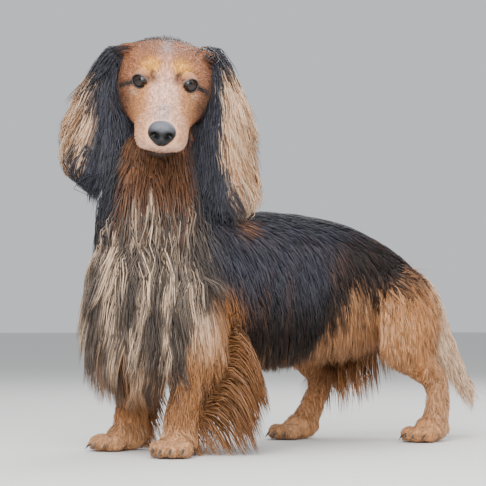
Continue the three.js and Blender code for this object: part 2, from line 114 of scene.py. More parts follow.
# Floor: a plain pale matt floor for the dog to stand on, that reaches to the horizon. It is part of
# the studio, not of the model.
FLOOR_REACH = 40


def new_material(name, roughness, **values):
    """A material and its shader, with the shader's constant sockets set."""
    material = bpy.data.materials.new(name)
    material.use_nodes = True
    shader = material.node_tree.nodes["Principled BSDF"]
    shader.inputs["Roughness"].default_value = roughness
    for label, value in values.items():
        shader.inputs[label.replace("_", " ")].default_value = value
    return material, shader


floor_corners = [(x * FLOOR_REACH, y * FLOOR_REACH, 0) for x, y in ((-1, -1), (1, -1), (1, 1), (-1, 1))]
floor_mesh = bpy.data.meshes.new("floor")
floor_mesh.from_pydata(floor_corners, [], [(0, 1, 2, 3)])
floor = bpy.data.objects.new("floor", floor_mesh)
bpy.context.scene.collection.objects.link(floor)
floor_paint, _ = new_material("pale floor", 0.8, Base_Color=(0.66, 0.65, 0.63, 1))
floor_mesh.materials.append(floor_paint)

# Skin: the dog's body under its coat, in one piece from the nose's edge to the tail's end. It is
# built as lofts through the same sections as the solids, drawn in by the depth of the short coat,
# then melted together and smoothed, as flesh runs from one part into the next.
TRUNK_LENGTH, WITHERS, CHEST_WIDTH = 430, 242, 124
# Along the trunk, as shares of those: place, keel, widest height, back and half width
TRUNK_ROWS = np.array([
    [-0.118, 0.5, 0.62, 0.71, 0.1],
    [-0.105, 0.42, 0.6, 0.79, 0.3],
    [-0.07, 0.35, 0.58, 0.87, 0.4],
    [-0.02, 0.33, 0.57, 0.93, 0.46],
    [0.05, 0.33, 0.57, 0.975, 0.49],
    [0.14, 0.335, 0.58, 0.99, 0.495],
    [0.25, 0.35, 0.58, 0.995, 0.49],
    [0.37, 0.38, 0.6, 1.0, 0.47],
    [0.48, 0.415, 0.62, 0.99, 0.45],
    [0.59, 0.445, 0.64, 0.96, 0.44],
    [0.68, 0.47, 0.64, 0.905, 0.43],
    [0.76, 0.49, 0.63, 0.835, 0.39],
    [0.82, 0.52, 0.63, 0.755, 0.3],
    [0.85, 0.56, 0.63, 0.7, 0.17],
]) * [TRUNK_LENGTH, WITHERS, WITHERS, WITHERS, CHEST_WIDTH]
# Down neck, legs and tail: x, y, z, half width and half depth
NECK_ROWS = [
    [0, 14, 160, 44, 50],
    [0, 10, 205, 50, 55],
    [-1, 8, 240, 50, 53],
    [-4, 14, 272, 46, 49],
    [-6, 24, 302, 41, 43],
    [-5, 30, 332, 37, 37],
    [-2, 26, 362, 30, 28],
]
FORE_ROWS = [
    [42, 14, 172, 17, 27],
    [50, 20, 138, 20, 29],
    [53, 22, 106, 21, 26],
    [51, 16, 76, 18.5, 21],
    [49, 8, 50, 17, 18],
    [48, 3, 30, 17, 18],
    [48, 1, 12, 16.5, 18],
]
HIND_ROWS = [
    [32, 322, 172, 19, 38],
    [46, 312, 150, 23, 42],
    [55, 298, 124, 23, 37],
    [60, 291, 104, 19, 29],
    [62, 309, 86, 15, 21],
    [61, 336, 66, 13, 15.5],
    [61, 341, 44, 13, 14.5],
    [61, 338, 24, 14.5, 15.5],
    [61, 334, 12, 14.5, 16],
]
TAIL_ROWS = [
    [0, 346, 174, 15, 15],
    [0, 372, 162, 14, 14],
    [1, 390, 142, 11, 11],
    [2, 404, 118, 9, 9],
    [3, 418, 96, 7, 7],
    [4, 432, 78, 5, 5],
    [5, 442, 66, 3, 3],
]
# How far the right feet stand behind the left ones, and the height where that ends
FORE_STRIDE, HIND_STRIDE, HIP_HEIGHT = 12, -79, 174
# Along head and jaw, in the head's frame: place, underside, widest height, top and half width
HEAD_ROWS = [
    [63, -2, 10, 22, 10],
    [54, -22, 8, 33, 28],
    [34, -36, 6, 41, 41],
    [8, -42, 4, 43.5, 46],
    [-16, -42, 2, 40, 45],
    [-34, -41, -2, 31, 41],
    [-48, -40, -8, 20, 33],
    [-58, -40, -13, 13.5, 29],
    [-72, -39.5, -17, 8, 27],
    [-90, -39, -20, 3, 25.5],
    [-106, -38, -22, -2, 24],
    [-116, -35, -22, -5, 21],
    [-122, -30, -20, -8, 15],
]
JAW_ROWS = [
    [4, -47, -34, -26, 22],
    [-26, -49, -36, -24, 22],
    [-54, -49.5, -37, -26, 20],
    [-80, -48.5, -37, -28, 16.5],
    [-100, -46, -37, -30, 13],
    [-109, -41, -36, -32, 7],
]
# Paws as x, y and turn in degrees, and toes as x and y from the middle of their paw
PAWS = ((49, 0, 34), (-47, 10, -6), (61, 332, 6), (-60, 253, -4))
TOES = ((-14.5, -22), (-5.2, -29), (5.2, -29), (14.5, -22))
PAD_RADII, PAD_HEIGHT = (15.5, 21, 13), 12.6
TOE_RADII, TOE_HEIGHT = (5.5, 11.5, 8.2), 8.4
SOLE_HEIGHT = 0.4
SHORT_COAT, LONG_COAT, FACE_COAT = 3.0, 6.0, 1.3


def eased(rows, count):
    """Rows of numbers drawn out to count rows by a Catmull-Rom curve in each column."""
    rows = np.asarray(rows, float)
    last = len(rows) - 1
    place = np.linspace(0, last, count)
    k = np.minimum(place.astype(int), last - 1)
    t = (place - k)[:, None]
    p0, p1, p2, p3 = (rows[np.clip(k + j, 0, last)] for j in (-1, 0, 1, 2))
    m1, m2 = (p2 - p0) / 2, (p3 - p1) / 2
    return (2 * t**3 - 3 * t**2 + 1) * p1 + (t**3 - 2 * t**2 + t) * m1 \
        + (3 * t**2 - 2 * t**3) * p2 + (t**3 - t**2) * m2


def unit(v):
    return v / np.maximum(np.linalg.norm(v, axis=-1, keepdims=True), 1e-9)


def smoothstep(low, high, x):
    t = np.clip((np.asarray(x, float) - low) / (high - low), 0, 1)
    return t * t * (3 - 2 * t)


def bump(points, centre, radius):
    """1 at the centre and 0 about a radius and a half away, along each axis of radius."""
    off = (points - np.asarray(centre)) / np.asarray(radius)
    return np.exp(-1.5 * (off**2).sum(-1))


def barrel(rows, count, sides, power=0.88, inset=0.0):
    y, low, middle, high, half = eased(rows, count).T[:, :, None]
    a = np.linspace(0, 2 * np.pi, sides, endpoint=False)
    across = np.sign(np.cos(a)) * np.abs(np.cos(a)) ** power
    up = np.sign(np.sin(a)) * np.abs(np.sin(a)) ** power
    reach = np.where(up > 0, high - middle, middle - low) - inset
    return np.stack(np.broadcast_arrays((half - inset) * across, y, middle + up * reach), -1)


def limb(rows, count, sides, side=1, inset=0.0):
    stations = eased(rows, count)
    at = stations[:, :3] * [side, 1, 1]
    along = unit(np.gradient(at, axis=0))
    across = np.array([1.0, 0, 0]) - along * along[:, :1]
    across = unit(across)
    depth = np.cross(along, across)
    a = np.linspace(0, 2 * np.pi, sides, endpoint=False)[None, :, None]
    half, deep = (np.maximum(stations[:, c] - inset, 2)[:, None, None] for c in (3, 4))
    return at[:, None] + across[:, None] * half * np.cos(a) + depth[:, None] * deep * np.sin(a)


def ball(centre, radii, turn=None, around=24, down=16):
    a = np.linspace(0, 2 * np.pi, around, endpoint=False)
    b = np.linspace(0.02, np.pi - 0.02, down)
    unit_ball = np.stack([np.outer(np.sin(b), np.cos(a)), np.outer(np.sin(b), np.sin(a)),
                          np.outer(np.cos(b), np.ones(around))], -1)
    points = unit_ball * np.asarray(radii, float)
    if turn is not None:
        points = points @ turned(2, turn).T
    return points + np.asarray(centre, float)


def stepped(rows, stride):
    rows = np.array(rows, float)
    rows[:, 1] += stride * (1 - smoothstep(0, HIP_HEIGHT, rows[:, 2]))
    return rows


def outward(rings):
    """The rings, in the order round that makes their faces look outwards."""
    a, b, d = rings[:-1], rings[1:], np.roll(rings[:-1], -1, 1)
    volume = (np.cross(d - a, b - a) * (a - rings.mean((0, 1)))).sum()
    return rings if volume > 0 else rings[:, ::-1]


def closed_faces(count, sides, first=0):
    """Quads round a skin of rings, and one face over each end."""
    r, s = np.meshgrid(np.arange(count - 1), np.arange(sides), indexing="ij")
    a, b = first + r * sides + s, first + r * sides + (s + 1) % sides
    quads = np.stack([a, b, b + sides, a + sides], -1).reshape(-1, 4).tolist()
    start = list(range(first + sides - 1, first - 1, -1))
    end = list(range(first + (count - 1) * sides, first + count * sides))
    return quads + [start, end]


def melted(skins, voxel, smoothing):
    """One closed mesh round overlapping skins of rings: its corners, faces and normals."""
    points, faces = [], []
    for rings in skins:
        rings = outward(rings)
        faces += closed_faces(rings.shape[0], rings.shape[1], sum(map(len, points)))
        points.append(rings.reshape(-1, 3))
    mesh = bpy.data.meshes.new("melted")
    mesh.from_pydata(np.concatenate(points).tolist(), [], faces)
    body = bmesh.new()
    body.from_mesh(mesh)
    bmesh.ops.recalc_face_normals(body, faces=body.faces)
    body.to_mesh(mesh)
    body.free()
    lump = bpy.data.objects.new("melted", mesh)
    bpy.context.scene.collection.objects.link(lump)
    remesh = lump.modifiers.new("remesh", "REMESH")
    remesh.mode = "VOXEL"
    remesh.voxel_size = voxel
    soften = lump.modifiers.new("soften", "SMOOTH")
    soften.iterations = smoothing
    soften.factor = 0.5
    result = bpy.data.meshes.new_from_object(lump.evaluated_get(bpy.context.evaluated_depsgraph_get()))
    corners = np.empty(len(result.vertices) * 3)
    result.vertices.foreach_get("co", corners)
    normals = np.empty(len(result.vertices) * 3)
    result.vertex_normals.foreach_get("vector", normals)
    quads = [tuple(p.vertices) for p in result.polygons]
    bpy.data.objects.remove(lump)
    return corners.reshape(-1, 3), quads, normals.reshape(-1, 3)


def pair_of_legs(rows, stride, count):
    """The left leg, and the right one with its foot a stride further back."""
    return [limb(r, count, 28, side, SHORT_COAT) for side, r in ((1, rows), (-1, stepped(rows, stride)))]


trunk_rings = barrel(TRUNK_ROWS, 60, 48, inset=LONG_COAT)
neck_rings = limb(NECK_ROWS, 40, 40, inset=4.0)
fore_rings = pair_of_legs(FORE_ROWS, FORE_STRIDE, 40)
hind_rings = pair_of_legs(HIND_ROWS, HIND_STRIDE, 46)
tail_rings = limb(TAIL_ROWS, 40, 20, inset=1.5)
paw_skins = []
for x, y, turn in PAWS:
    turn = math.radians(turn)
    toes = [(toe, TOE_RADII, TOE_HEIGHT) for toe in TOES]
    for (dx, dy), radii, z in [((0, -1), PAD_RADII, PAD_HEIGHT), *toes]:
        cx, cy, _ = turned(2, turn) @ [dx, dy, 0]
        paw_skins.append(ball((x + cx, y + cy, z), radii, turn))
body_points, body_faces, _ = melted(
    [trunk_rings, neck_rings, *fore_rings, *hind_rings, tail_rings, *paw_skins], voxel=2.65, smoothing=5)
body_points[:, 2] = np.maximum(body_points[:, 2], SOLE_HEIGHT)

# Head: melted more finely, with the muzzle's end lowered a little. Its brows, cheeks, stop, whisker
# pads and lips are raised or sunk, and each eye's place is hollowed for the eyeball.
LEFT_RIGHT = (1, -1)
EYE_RADIUS = 10.5
EYE_TURN = math.radians(24)
OPENING = (6.7, 5.7)
HOLLOW_DEPTH, HOLLOW_RISE = 2.2, 3.0
MUZZLE_DROP = 2.3
MOUTH_HEIGHT, MOUTH_HALF, MOUTH_DEPTH = -40.2, 1.3, 1.5
NAPE_AT, NAPE_WAY, NAPE_END = (0, -4, -42), unit(np.array([0, -0.58, 0.81])), -14
# Each form: its middle on the left side, its reach along x, y and z, and how far it is raised
FORMS = (
    ((16, -36, 25), (9, 8, 6), 2.6),  # brow
    ((14, -50, 9), (7, 9, 9), -1.6),  # hollow inside the eye
    ((30, -50, 0), (9, 9, 7), -1.2),  # hollow under the eye
    ((0, -38, 26), (5, 16, 8), -1.5),  # furrow between the brows
    ((36, -14, -2), (10, 16, 8), 1.2),  # cheekbone
    ((15, -103, -27), (9, 14, 9), 1.8),  # whisker pad
    ((0, -112, -30), (3, 8, 8), -1.6),  # split of the upper lip
    ((20, -84, -36), (8, 22, 4), 1.3),  # edge of the lip
    ((0, 4, 44), (27, 40, 14), -6.5),  # flat top of the skull
    ((33, 4, 32), (9, 16, 10), 2.6),  # side of the skull above the ear
    ((17, -104, -34), (8, 14, 8), 2.3),  # square front of the lip
)


def from_head(points):
    return np.asarray(points) @ HEAD_FRAME.T + HEAD_AT


def in_head(points):
    return (np.asarray(points) - HEAD_AT) @ HEAD_FRAME


def eye_axes(s):
    """Across, out and up for the eye on side s of the head."""
    out = np.array([s * math.sin(EYE_TURN), -math.cos(EYE_TURN), 0])
    up = np.array([0.0, 0, 1])
    return np.cross(up, out) * -1, out, up


def mirrored(place, s):
    """A place on the left side of the head, taken to side s."""
    return np.multiply(place, [s, 1, 1])


head_rings = barrel(HEAD_ROWS, 60, 56, 0.9, FACE_COAT)
jaw_rings = barrel(JAW_ROWS, 30, 30, 0.88, FACE_COAT)
neck_in_head = in_head(neck_rings[16:])
cheeks = [ball((s * 29, -8, -15), (13, 24, 17)) for s in LEFT_RIGHT]
lid_balls = [ball(mirrored(EYE_AT, s), [EYE_RADIUS + 0.5] * 3) for s in LEFT_RIGHT]
head_points, head_faces, head_normals = melted(
    [head_rings, jaw_rings, neck_in_head, *cheeks, *lid_balls], voxel=1.2, smoothing=8)
head_points[:, 2] -= MUZZLE_DROP * smoothstep(-52, -98, head_points[:, 1])
for centre, radius, height in FORMS:
    sides = LEFT_RIGHT if centre[0] else (1,)
    for s in sides:
        stand = height * bump(head_points, mirrored(centre, s), radius)
        head_points += head_normals * stand[:, None]

# Under the lids the skin is sunk below the globe. Past their edge it rises over the globe again and
# runs back into the face. Distances from the eye's middle are in shares of its opening.
for s in LEFT_RIGHT:
    across, out, up = eye_axes(s)
    off = head_points - mirrored(EYE_AT, s)
    lid = np.hypot((off @ across) / OPENING[0], (off @ up) / OPENING[1])
    inside = (lid < 2.1) & ((off @ out) > 2)
    stands = np.linalg.norm(off, axis=1)
    sunk = np.minimum(stands, EYE_RADIUS - HOLLOW_DEPTH + HOLLOW_RISE * smoothstep(1.15, 1.5, lid))
    depth = sunk + (stands - sunk) * smoothstep(1.5, 2.1, lid)
    head_points[inside] = mirrored(EYE_AT, s) + unit(off[inside]) * depth[inside][:, None]

# The mouth is a crease along the lips, and the head's skin ends inside the neck
mouth = np.exp(-(((head_points[:, 2] - MOUTH_HEIGHT) / MOUTH_HALF) ** 2))
mouth = mouth * smoothstep(-40, -60, head_points[:, 1])
head_points -= head_normals * (MOUTH_DEPTH * mouth)[:, None]
nape = (head_points - NAPE_AT) @ NAPE_WAY
keep = nape > NAPE_END
kept_corner = np.cumsum(keep) - 1
head_faces = [[int(kept_corner[i]) for i in f] for f in head_faces if all(keep[i] for i in f)]
head_points, head_normals = head_points[keep], head_normals[keep]
skin_points = np.concatenate([from_head(head_points), body_points])
skin_faces = head_faces + [[i + len(head_points) for i in f] for f in body_faces]

# Markings: the same for skin and coat, with some painted sheen and shade. Tan and red ground, a black saddle
# from the nape to the croup that is painted bluish towards the spine as painted sheen, a chest of mixed
# cream and sooty locks, a cream tail, and a red face with gold spots over the eyes, a paler bridge and pale
# lids. Colours are linear red, green and blue.
TAN = np.array([0.52, 0.235, 0.09])
ORANGE = np.array([0.55, 0.22, 0.065])
RED = np.array([0.30, 0.115, 0.05])
BLACK = np.array([0.021, 0.021, 0.027])
SHEEN_SLATE = np.array([0.036, 0.036, 0.052])
SOOT = np.array([0.10, 0.075, 0.06])
CREAM = np.array([0.78, 0.55, 0.37])
GOLD = np.array([0.60, 0.27, 0.05])
PINK = np.array([0.76, 0.43, 0.32])
PALE = np.array([0.76, 0.49, 0.38])
MUZZLE = np.array([0.62, 0.31, 0.175])
LILAC = np.array([0.47, 0.34, 0.33])
GREY = np.array([0.20, 0.15, 0.115])
UMBER = np.array([0.075, 0.035, 0.02])
DARK = np.array([0.018, 0.014, 0.013])


def toward(colour, other, share):
    share = np.asarray(share)[..., None]
    return colour * (1 - share) + other * share


def ripple(p, size):
    """A slow uneven wave over the coat, 0 to 1, drawn out downwards as streaks are."""
    q = p * np.array([1, 1, 0.25]) / size
    bent = q + 1.3 * np.sin(q[:, [1, 2, 0]] * 1.7 + [0.4, 2.1, 4.4])
    return 0.5 + 0.5 * np.sin(bent @ [2.3, 2.9, 3.7])


def body_colour(p, lock=0.5, strand=0.5):
    """Colours at points in the dog's frame; lock and strand are 0 to 1 for each lock and strand."""
    x, y, z = p.T
    lock, strand = np.asarray(lock), np.asarray(strand)
    mixed = (lock - 0.5) * 1.1 + (strand - 0.5) * 0.5

    # Tan ground, paler at the buttocks and right foreleg, darker on the left one and under the belly
    colour = toward(TAN, ORANGE, smoothstep(240, 330, y))
    colour = toward(colour, CREAM, 0.25 * smoothstep(0.3, 0.9, strand))
    colour = toward(colour, CREAM, 0.05 * smoothstep(40, 12, z) + 0.28 * smoothstep(300, 345, y))
    fore = smoothstep(70, 50, y) * smoothstep(125, 100, z) * smoothstep(24, 40, z)
    colour = toward(colour, ORANGE * 0.5, 0.75 * fore * smoothstep(5, 25, x))
    colour = toward(colour, TAN * 1.25, fore * smoothstep(-5, -25, x))
    shade_under = smoothstep(125, 100, z) * smoothstep(42, 20, np.abs(x)) * smoothstep(60, 110, y)
    colour = toward(colour, UMBER, 0.75 * shade_under)

    # Black saddle, rusty in streaks, brown along its lower edge, painted bluish higher up as painted sheen,
    # with two orange patches in front
    edge = 112 + 62 * smoothstep(160, 228, y) + 14 * smoothstep(240, 330, y) + 50 * smoothstep(60, 5, y)
    saddle = smoothstep(-20, 14, z - edge + 22 * mixed) * smoothstep(356, 334, y)
    streaks = smoothstep(0.5, 0.85, 0.5 * strand + 0.5 * ripple(p, 34))
    rust = saddle * streaks * (1 - 0.85 * smoothstep(25, 75, z - edge))
    # The saddle turns bluish higher up, towards the spine, as painted sheen.
    colour = toward(colour, toward(BLACK, SHEEN_SLATE, smoothstep(20, 90, z - edge)), saddle)
    colour = toward(colour, RED * 0.5, rust * 0.65)
    colour = toward(colour, UMBER * 0.2, 0.9 * saddle * smoothstep(66, 14, z - edge))
    shoulder = bump(p, (44, 80, 230), (22, 14, 13)) + bump(p, (66, 44, 148), (18, 24, 24))
    colour = toward(colour, ORANGE * 0.8, np.clip(1.5 * shoulder * (0.4 + strand), 0, 0.9))

    # Chest of cream, grey and sooty locks, browner towards its foot
    ruff = smoothstep(46, 5, y) * smoothstep(84, 118, z) * smoothstep(268, 238, z)
    streak = bump(p, (50, 27, 186), (12, 15, 40)) + bump(p, (-20, -30, 190), (17, 18, 40))
    pick = 0.30 * lock + 0.22 * strand + 0.48 * ripple(p, 26) + 0.30 * streak
    bib = toward(GREY * 0.8, CREAM * 0.9, smoothstep(0.55, 0.74, pick))
    bib = toward(bib, TAN, 0.5 * smoothstep(150, 105, z))
    bib = toward(bib, SOOT * 0.7, smoothstep(0.44, 0.26, pick))
    colour = toward(colour, bib, ruff)
    low_chest = smoothstep(40, 5, y) * smoothstep(110, 84, z) * smoothstep(40, 60, z)
    colour = toward(colour, UMBER, low_chest * 0.75 * smoothstep(0.5, 0.3, pick))

    # Dark red throat between black sides and a black nape, and a cream tail
    throat = smoothstep(238, 262, z) * smoothstep(46, 8, y)
    colour = toward(colour, toward(RED * 0.40, TAN * 0.42, 0.5 * strand), throat)
    beside = np.abs((p - HEAD_AT) @ HEAD_FRAME[:, 0])
    colour = toward(colour, BLACK, smoothstep(225, 245, z) * smoothstep(27, 36, beside))
    nape_black = smoothstep(215, 245, z) * smoothstep(8, 40, y)
    colour = toward(colour, BLACK, nape_black)
    pale = toward(TAN * 1.3, CREAM * 1.3, smoothstep(0.0, 0.28, 0.5 * (lock + strand)))
    return toward(colour, pale, smoothstep(350, 368, y))


def eye_place(folded):
    """Places on the left of the head, from the eye: in shares of its opening, in front and above."""
    across, out, up = ((folded - EYE_AT) @ axis for axis in eye_axes(1))
    return np.hypot(across / OPENING[0], up / OPENING[1]), out, up


def face_colour(p, strand=0.5):
    """Colours at points in the head's frame."""
    x, y, z = p.T
    ax = np.abs(x)
    folded = np.stack([ax, y, z], -1)

    # Red ground, a pink forehead, and a pale bridge with a lilac streak at its foot and on the crown
    colour = toward(RED * 1.08, MUZZLE, smoothstep(-30, -66, y))
    colour = toward(colour, PINK, 0.85 * bump(p * [1, 0.5, 1], (0, -22, 10), (11, 24, 34)))
    bridge = smoothstep(18, 6, ax) * smoothstep(-50, -62, y) * smoothstep(-20, -6, z)
    over_nose = smoothstep(8, 3, ax) * smoothstep(-84, -92, y) * smoothstep(-14, -6, z)
    crown = smoothstep(7, 2, ax) * smoothstep(-30, -10, y) * smoothstep(24, 32, z)
    colour = toward(colour, PALE, 0.5 * bridge)
    colour = toward(colour, LILAC, 0.7 * over_nose)
    colour = toward(colour, LILAC, 0.55 * crown)

    # Tan sides to the muzzle, dark cheeks, gold brow spots with painted shade under the brow below them,
    # paler lower lids, and painted shadow under the ears
    beside = smoothstep(12, 20, ax) * smoothstep(-100, -86, y) * smoothstep(-44, -54, y)
    beside = beside * smoothstep(-30, -20, z)
    colour = toward(colour, ORANGE * 0.8, 0.75 * beside)
    colour = toward(colour, RED * 0.5, 0.75 * smoothstep(25, 37, ax) * smoothstep(18, 2, z))
    colour = toward(colour, GOLD, np.minimum(1, 1.8 * bump(folded, (14, -38, 25), (10, 11, 10))))
    # Painted shade under the brow, along the gold spot's lower inner edge.
    colour = toward(colour, UMBER, np.minimum(0.9, 1.3 * bump(folded, (13, -46, 16), (7, 16, 4.5))))
    colour = toward(colour, CREAM * 0.85, 0.5 * bump(folded, (25, -50, 1), (8.5, 7, 3.4)))
    colour = toward(colour, UMBER, 0.6 * bump(folded, (32, -44, -9), (10, 9, 6)))
    # Painted shadow on the side of the head under the ear leather.
    colour = toward(colour, UMBER * 1.6, 0.85 * bump(folded, (44, -20, -8), (12, 24, 30)))

    # A dark line runs from each eye's outer corner back to the ear
    for centre in ((31.5, -44, 9), (35.5, -40, 6.5), (40, -32, 3.5)):
        colour = toward(colour, DARK, np.minimum(1, 1.5 * bump(folded, centre, (4.5, 9, 2.4))))

    # Pale whisker pads over dark lips and chin, darker partly in their own colour and partly as painted
    # shade under the muzzle and jaw, and dark rims to the lids
    colour = toward(colour, PALE, 0.5 * smoothstep(-84, -108, y) * smoothstep(-22, -33, z))
    # Lips, chin and the jaw's underside are darkened: partly their own dark colour, partly painted shade
    # under the muzzle and head.
    lips = smoothstep(-38.4, -40.6, z)
    colour = toward(colour, UMBER * 0.35, lips * smoothstep(-15, -60, y))
    colour = toward(colour, RED * 0.5, smoothstep(-34, -46, z) * smoothstep(-55, -20, y))
    lid, out, up = eye_place(folded)
    front = smoothstep(0, 4, out)
    colour = toward(colour, RED * 0.85, 0.6 * front * smoothstep(2.2, 1.5, lid) * smoothstep(-1, 3, up))
    colour = toward(colour, DARK, front * smoothstep(1.36, 1.16, lid))
    return colour * (0.86 + 0.28 * np.asarray(strand))[..., None]


skin_colour = np.concatenate([face_colour(head_points), body_colour(body_points)])
below = smoothstep(-30, -44, nape[keep])
on_head = slice(len(head_points))
skin_colour[on_head] = toward(skin_colour[on_head], body_colour(from_head(head_points)), below)


def add_colour(mesh, name, colours):
    layer = mesh.attributes.new(name, "FLOAT_COLOR", "POINT")
    rgba = np.ones((len(mesh.vertices), 4))
    rgba[:, :3] = colours
    layer.data.foreach_set("color", rgba.ravel())


def add_object(name, mesh, *replaced):
    thing = bpy.data.objects.new(name, mesh)
    bpy.context.scene.collection.objects.link(thing)
    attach(thing, "root")
    if replaced:
        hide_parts(*replaced)
    return thing


def smooth_mesh(name, points, faces):
    """A smooth-shaded mesh through points in the dog's frame."""
    mesh = bpy.data.meshes.new(name)
    mesh.from_pydata(in_model(points).tolist(), [], faces)
    mesh.shade_smooth()
    return mesh


def node_group(name, inputs, outputs):
    """A shader node group with named sockets, its input node and its output node."""
    group = bpy.data.node_groups.new(name, "ShaderNodeTree")
    for label, kind, value in inputs:
        socket = group.interface.new_socket(label, in_out="INPUT", socket_type=kind)
        socket.default_value = value
    for label, kind in outputs:
        group.interface.new_socket(label, in_out="OUTPUT", socket_type=kind)
    return group, group.nodes.new("NodeGroupInput"), group.nodes.new("NodeGroupOutput")


# Finish of short-haired and bare skin: the marking's colour broken by fine flecks, with the same
# flecks raised as a bump. The skin itself is one mesh that takes the place of all the flesh.
flecks, given, made = node_group(
    "hair flecks",
    [("Colour", "NodeSocketColor", (0.5, 0.3, 0.2, 1)), ("Scale", "NodeSocketFloat", 900.0),
     ("Depth", "NodeSocketFloat", 0.35)],
    [("Colour", "NodeSocketColor"), ("Height", "NodeSocketFloat")])
place = flecks.nodes.new("ShaderNodeTexCoord")
noise = flecks.nodes.new("ShaderNodeTexNoise")
noise.inputs["Detail"].default_value = 4
level = flecks.nodes.new("ShaderNodeMapRange")
level.inputs["From Min"].default_value = 0.3
level.inputs["From Max"].default_value = 0.7
darker = flecks.nodes.new("ShaderNodeHueSaturation")
shade = flecks.nodes.new("ShaderNodeMapRange")
link = flecks.links.new
link(place.outputs["Object"], noise.inputs["Vector"])
link(given.outputs["Scale"], noise.inputs["Scale"])
link(noise.outputs["Fac"], level.inputs["Value"])
less = flecks.nodes.new("ShaderNodeMath")
less.operation = "SUBTRACT"
less.inputs[0].default_value = 1.0
link(given.outputs["Depth"], less.inputs[1])
link(less.outputs[0], shade.inputs["To Min"])
shade.inputs["To Max"].default_value = 1.12
link(level.outputs["Result"], shade.inputs["Value"])
link(shade.outputs["Result"], darker.inputs["Value"])
link(given.outputs["Colour"], darker.inputs["Color"])
link(darker.outputs["Color"], made.inputs["Colour"])
link(level.outputs["Result"], made.inputs["Height"])


def placed_group(material, group):
    node = material.node_tree.nodes.new("ShaderNodeGroup")
    node.node_tree = group
    return node


def attribute(material, name):
    node = material.node_tree.nodes.new("ShaderNodeAttribute")
    node.attribute_name = name
    return node


def raised(material, shader, height, distance, strength=0.5):
    node = material.node_tree.nodes.new("ShaderNodeBump")
    node.inputs["Distance"].default_value = distance
    node.inputs["Strength"].default_value = strength
    material.node_tree.links.new(height, node.inputs["Height"])
    material.node_tree.links.new(node.outputs["Normal"], shader.inputs["Normal"])


def flecked(name, roughness, scale, relief, depth=0.35, colour=None, **values):
    """A material of one colour, or of the mesh's marking, broken by flecks that stand out."""
    material, shader = new_material(name, roughness, **values)
    spots = placed_group(material, flecks)
    spots.inputs["Scale"].default_value = scale
    spots.inputs["Depth"].default_value = depth
    link = material.node_tree.links.new
    if colour is None:
        link(attribute(material, "marking").outputs["Color"], spots.inputs["Colour"])
    else:
        spots.inputs["Colour"].default_value = colour
    link(spots.outputs["Colour"], shader.inputs["Base Color"])
    raised(material, shader, spots.outputs["Height"], relief)
    return material


skin_mesh = smooth_mesh("skin", skin_points, skin_faces)
add_colour(skin_mesh, "marking", skin_colour)
skin_finish = flecked("short coat", 0.62, 700, 0.0006, 0.2, Specular_IOR_Level=0.25)
skin_mesh.materials.append(skin_finish)
skin = add_object(
    "skin", skin_mesh, "head", "lower_jaw", "neck", "chest", "barrel", "rump", "tail",
    "foreleg_left", "foreleg_right", "hindleg_left", "hindleg_right",
    "forepaw_left", "forepaw_right", "hindpaw_left", "hindpaw_right")

# Eyes: dark brown wet globes set in the lids, looking at the camera. Each is black at the pupil,
# brown in the iris and dark at its rim, and bulges a little in front where the light catches it.
GAZE_TURN, GAZE_RISE = math.radians(7), math.radians(11)
IRIS_ANGLE = math.radians(36)
CORNEA_BULGE, GLOBE_INSET = 0.75, 0.15
GLOBE_SIDES, GLOBE_RINGS = 72, 48
RAMP_PER_IRIS = 0.45
PUPIL, SCLERA = (0.002, 0.002, 0.003, 1), (0.05, 0.04, 0.035, 1)
IRIS_STOPS = (
    (0.19, PUPIL),
    (0.235, (0.026, 0.012, 0.006, 1)),
    (0.40, (0.014, 0.007, 0.004, 1)),
    (0.48, (0.004, 0.003, 0.003, 1)),
    (0.60, (0.02, 0.014, 0.012, 1)),
)
for s, label in zip(LEFT_RIGHT, ("left", "right")):
    level_gaze = -math.cos(GAZE_TURN) * math.cos(GAZE_RISE)
    gaze = unit(np.array([s * math.sin(GAZE_TURN), level_gaze, math.sin(GAZE_RISE)]))
    globe = ball((0, 0, 0), [1, 1, 1], around=GLOBE_SIDES, down=GLOBE_RINGS)
    side_way = unit(np.cross(gaze, [0, 0, 1.0]))
    rise_way = np.cross(side_way, gaze)
    globe = globe @ np.stack([side_way, rise_way, gaze])
    angle = np.arccos(np.clip(globe @ gaze, -1, 1))
    bulge = EYE_RADIUS - GLOBE_INSET + CORNEA_BULGE * smoothstep(IRIS_ANGLE * 1.15, 0, angle)
    points = from_head(globe * bulge[..., None] + mirrored(EYE_AT, s)).reshape(-1, 3)
    mesh = smooth_mesh("eyeball_" + label, points, closed_faces(GLOBE_RINGS, GLOBE_SIDES))
    layer = mesh.attributes.new("from_pupil", "FLOAT", "POINT")
    layer.data.foreach_set("value", (angle / IRIS_ANGLE).ravel())
    eye_finish, eye_shader = new_material("eye " + label, 0.03, IOR=1.46)
    ramp = eye_finish.node_tree.nodes.new("ShaderNodeValToRGB")
    stops = ramp.color_ramp.elements
    stops[0].position, stops[0].color = 0.0, PUPIL
    stops[1].position, stops[1].color = 1.0, SCLERA
    for at, colour in IRIS_STOPS:
        stops.new(at).color = colour
    scaled = eye_finish.node_tree.nodes.new("ShaderNodeMath")
    scaled.operation = "MULTIPLY"
    scaled.inputs[1].default_value = RAMP_PER_IRIS
    link = eye_finish.node_tree.links.new
    link(attribute(eye_finish, "from_pupil").outputs["Fac"], scaled.inputs[0])
    link(scaled.outputs[0], ramp.inputs["Fac"])
    link(ramp.outputs["Color"], eye_shader.inputs["Base Color"])
    mesh.materials.append(eye_finish)
    eyeball = add_object("eyeball_" + label, mesh, "eye_" + label)

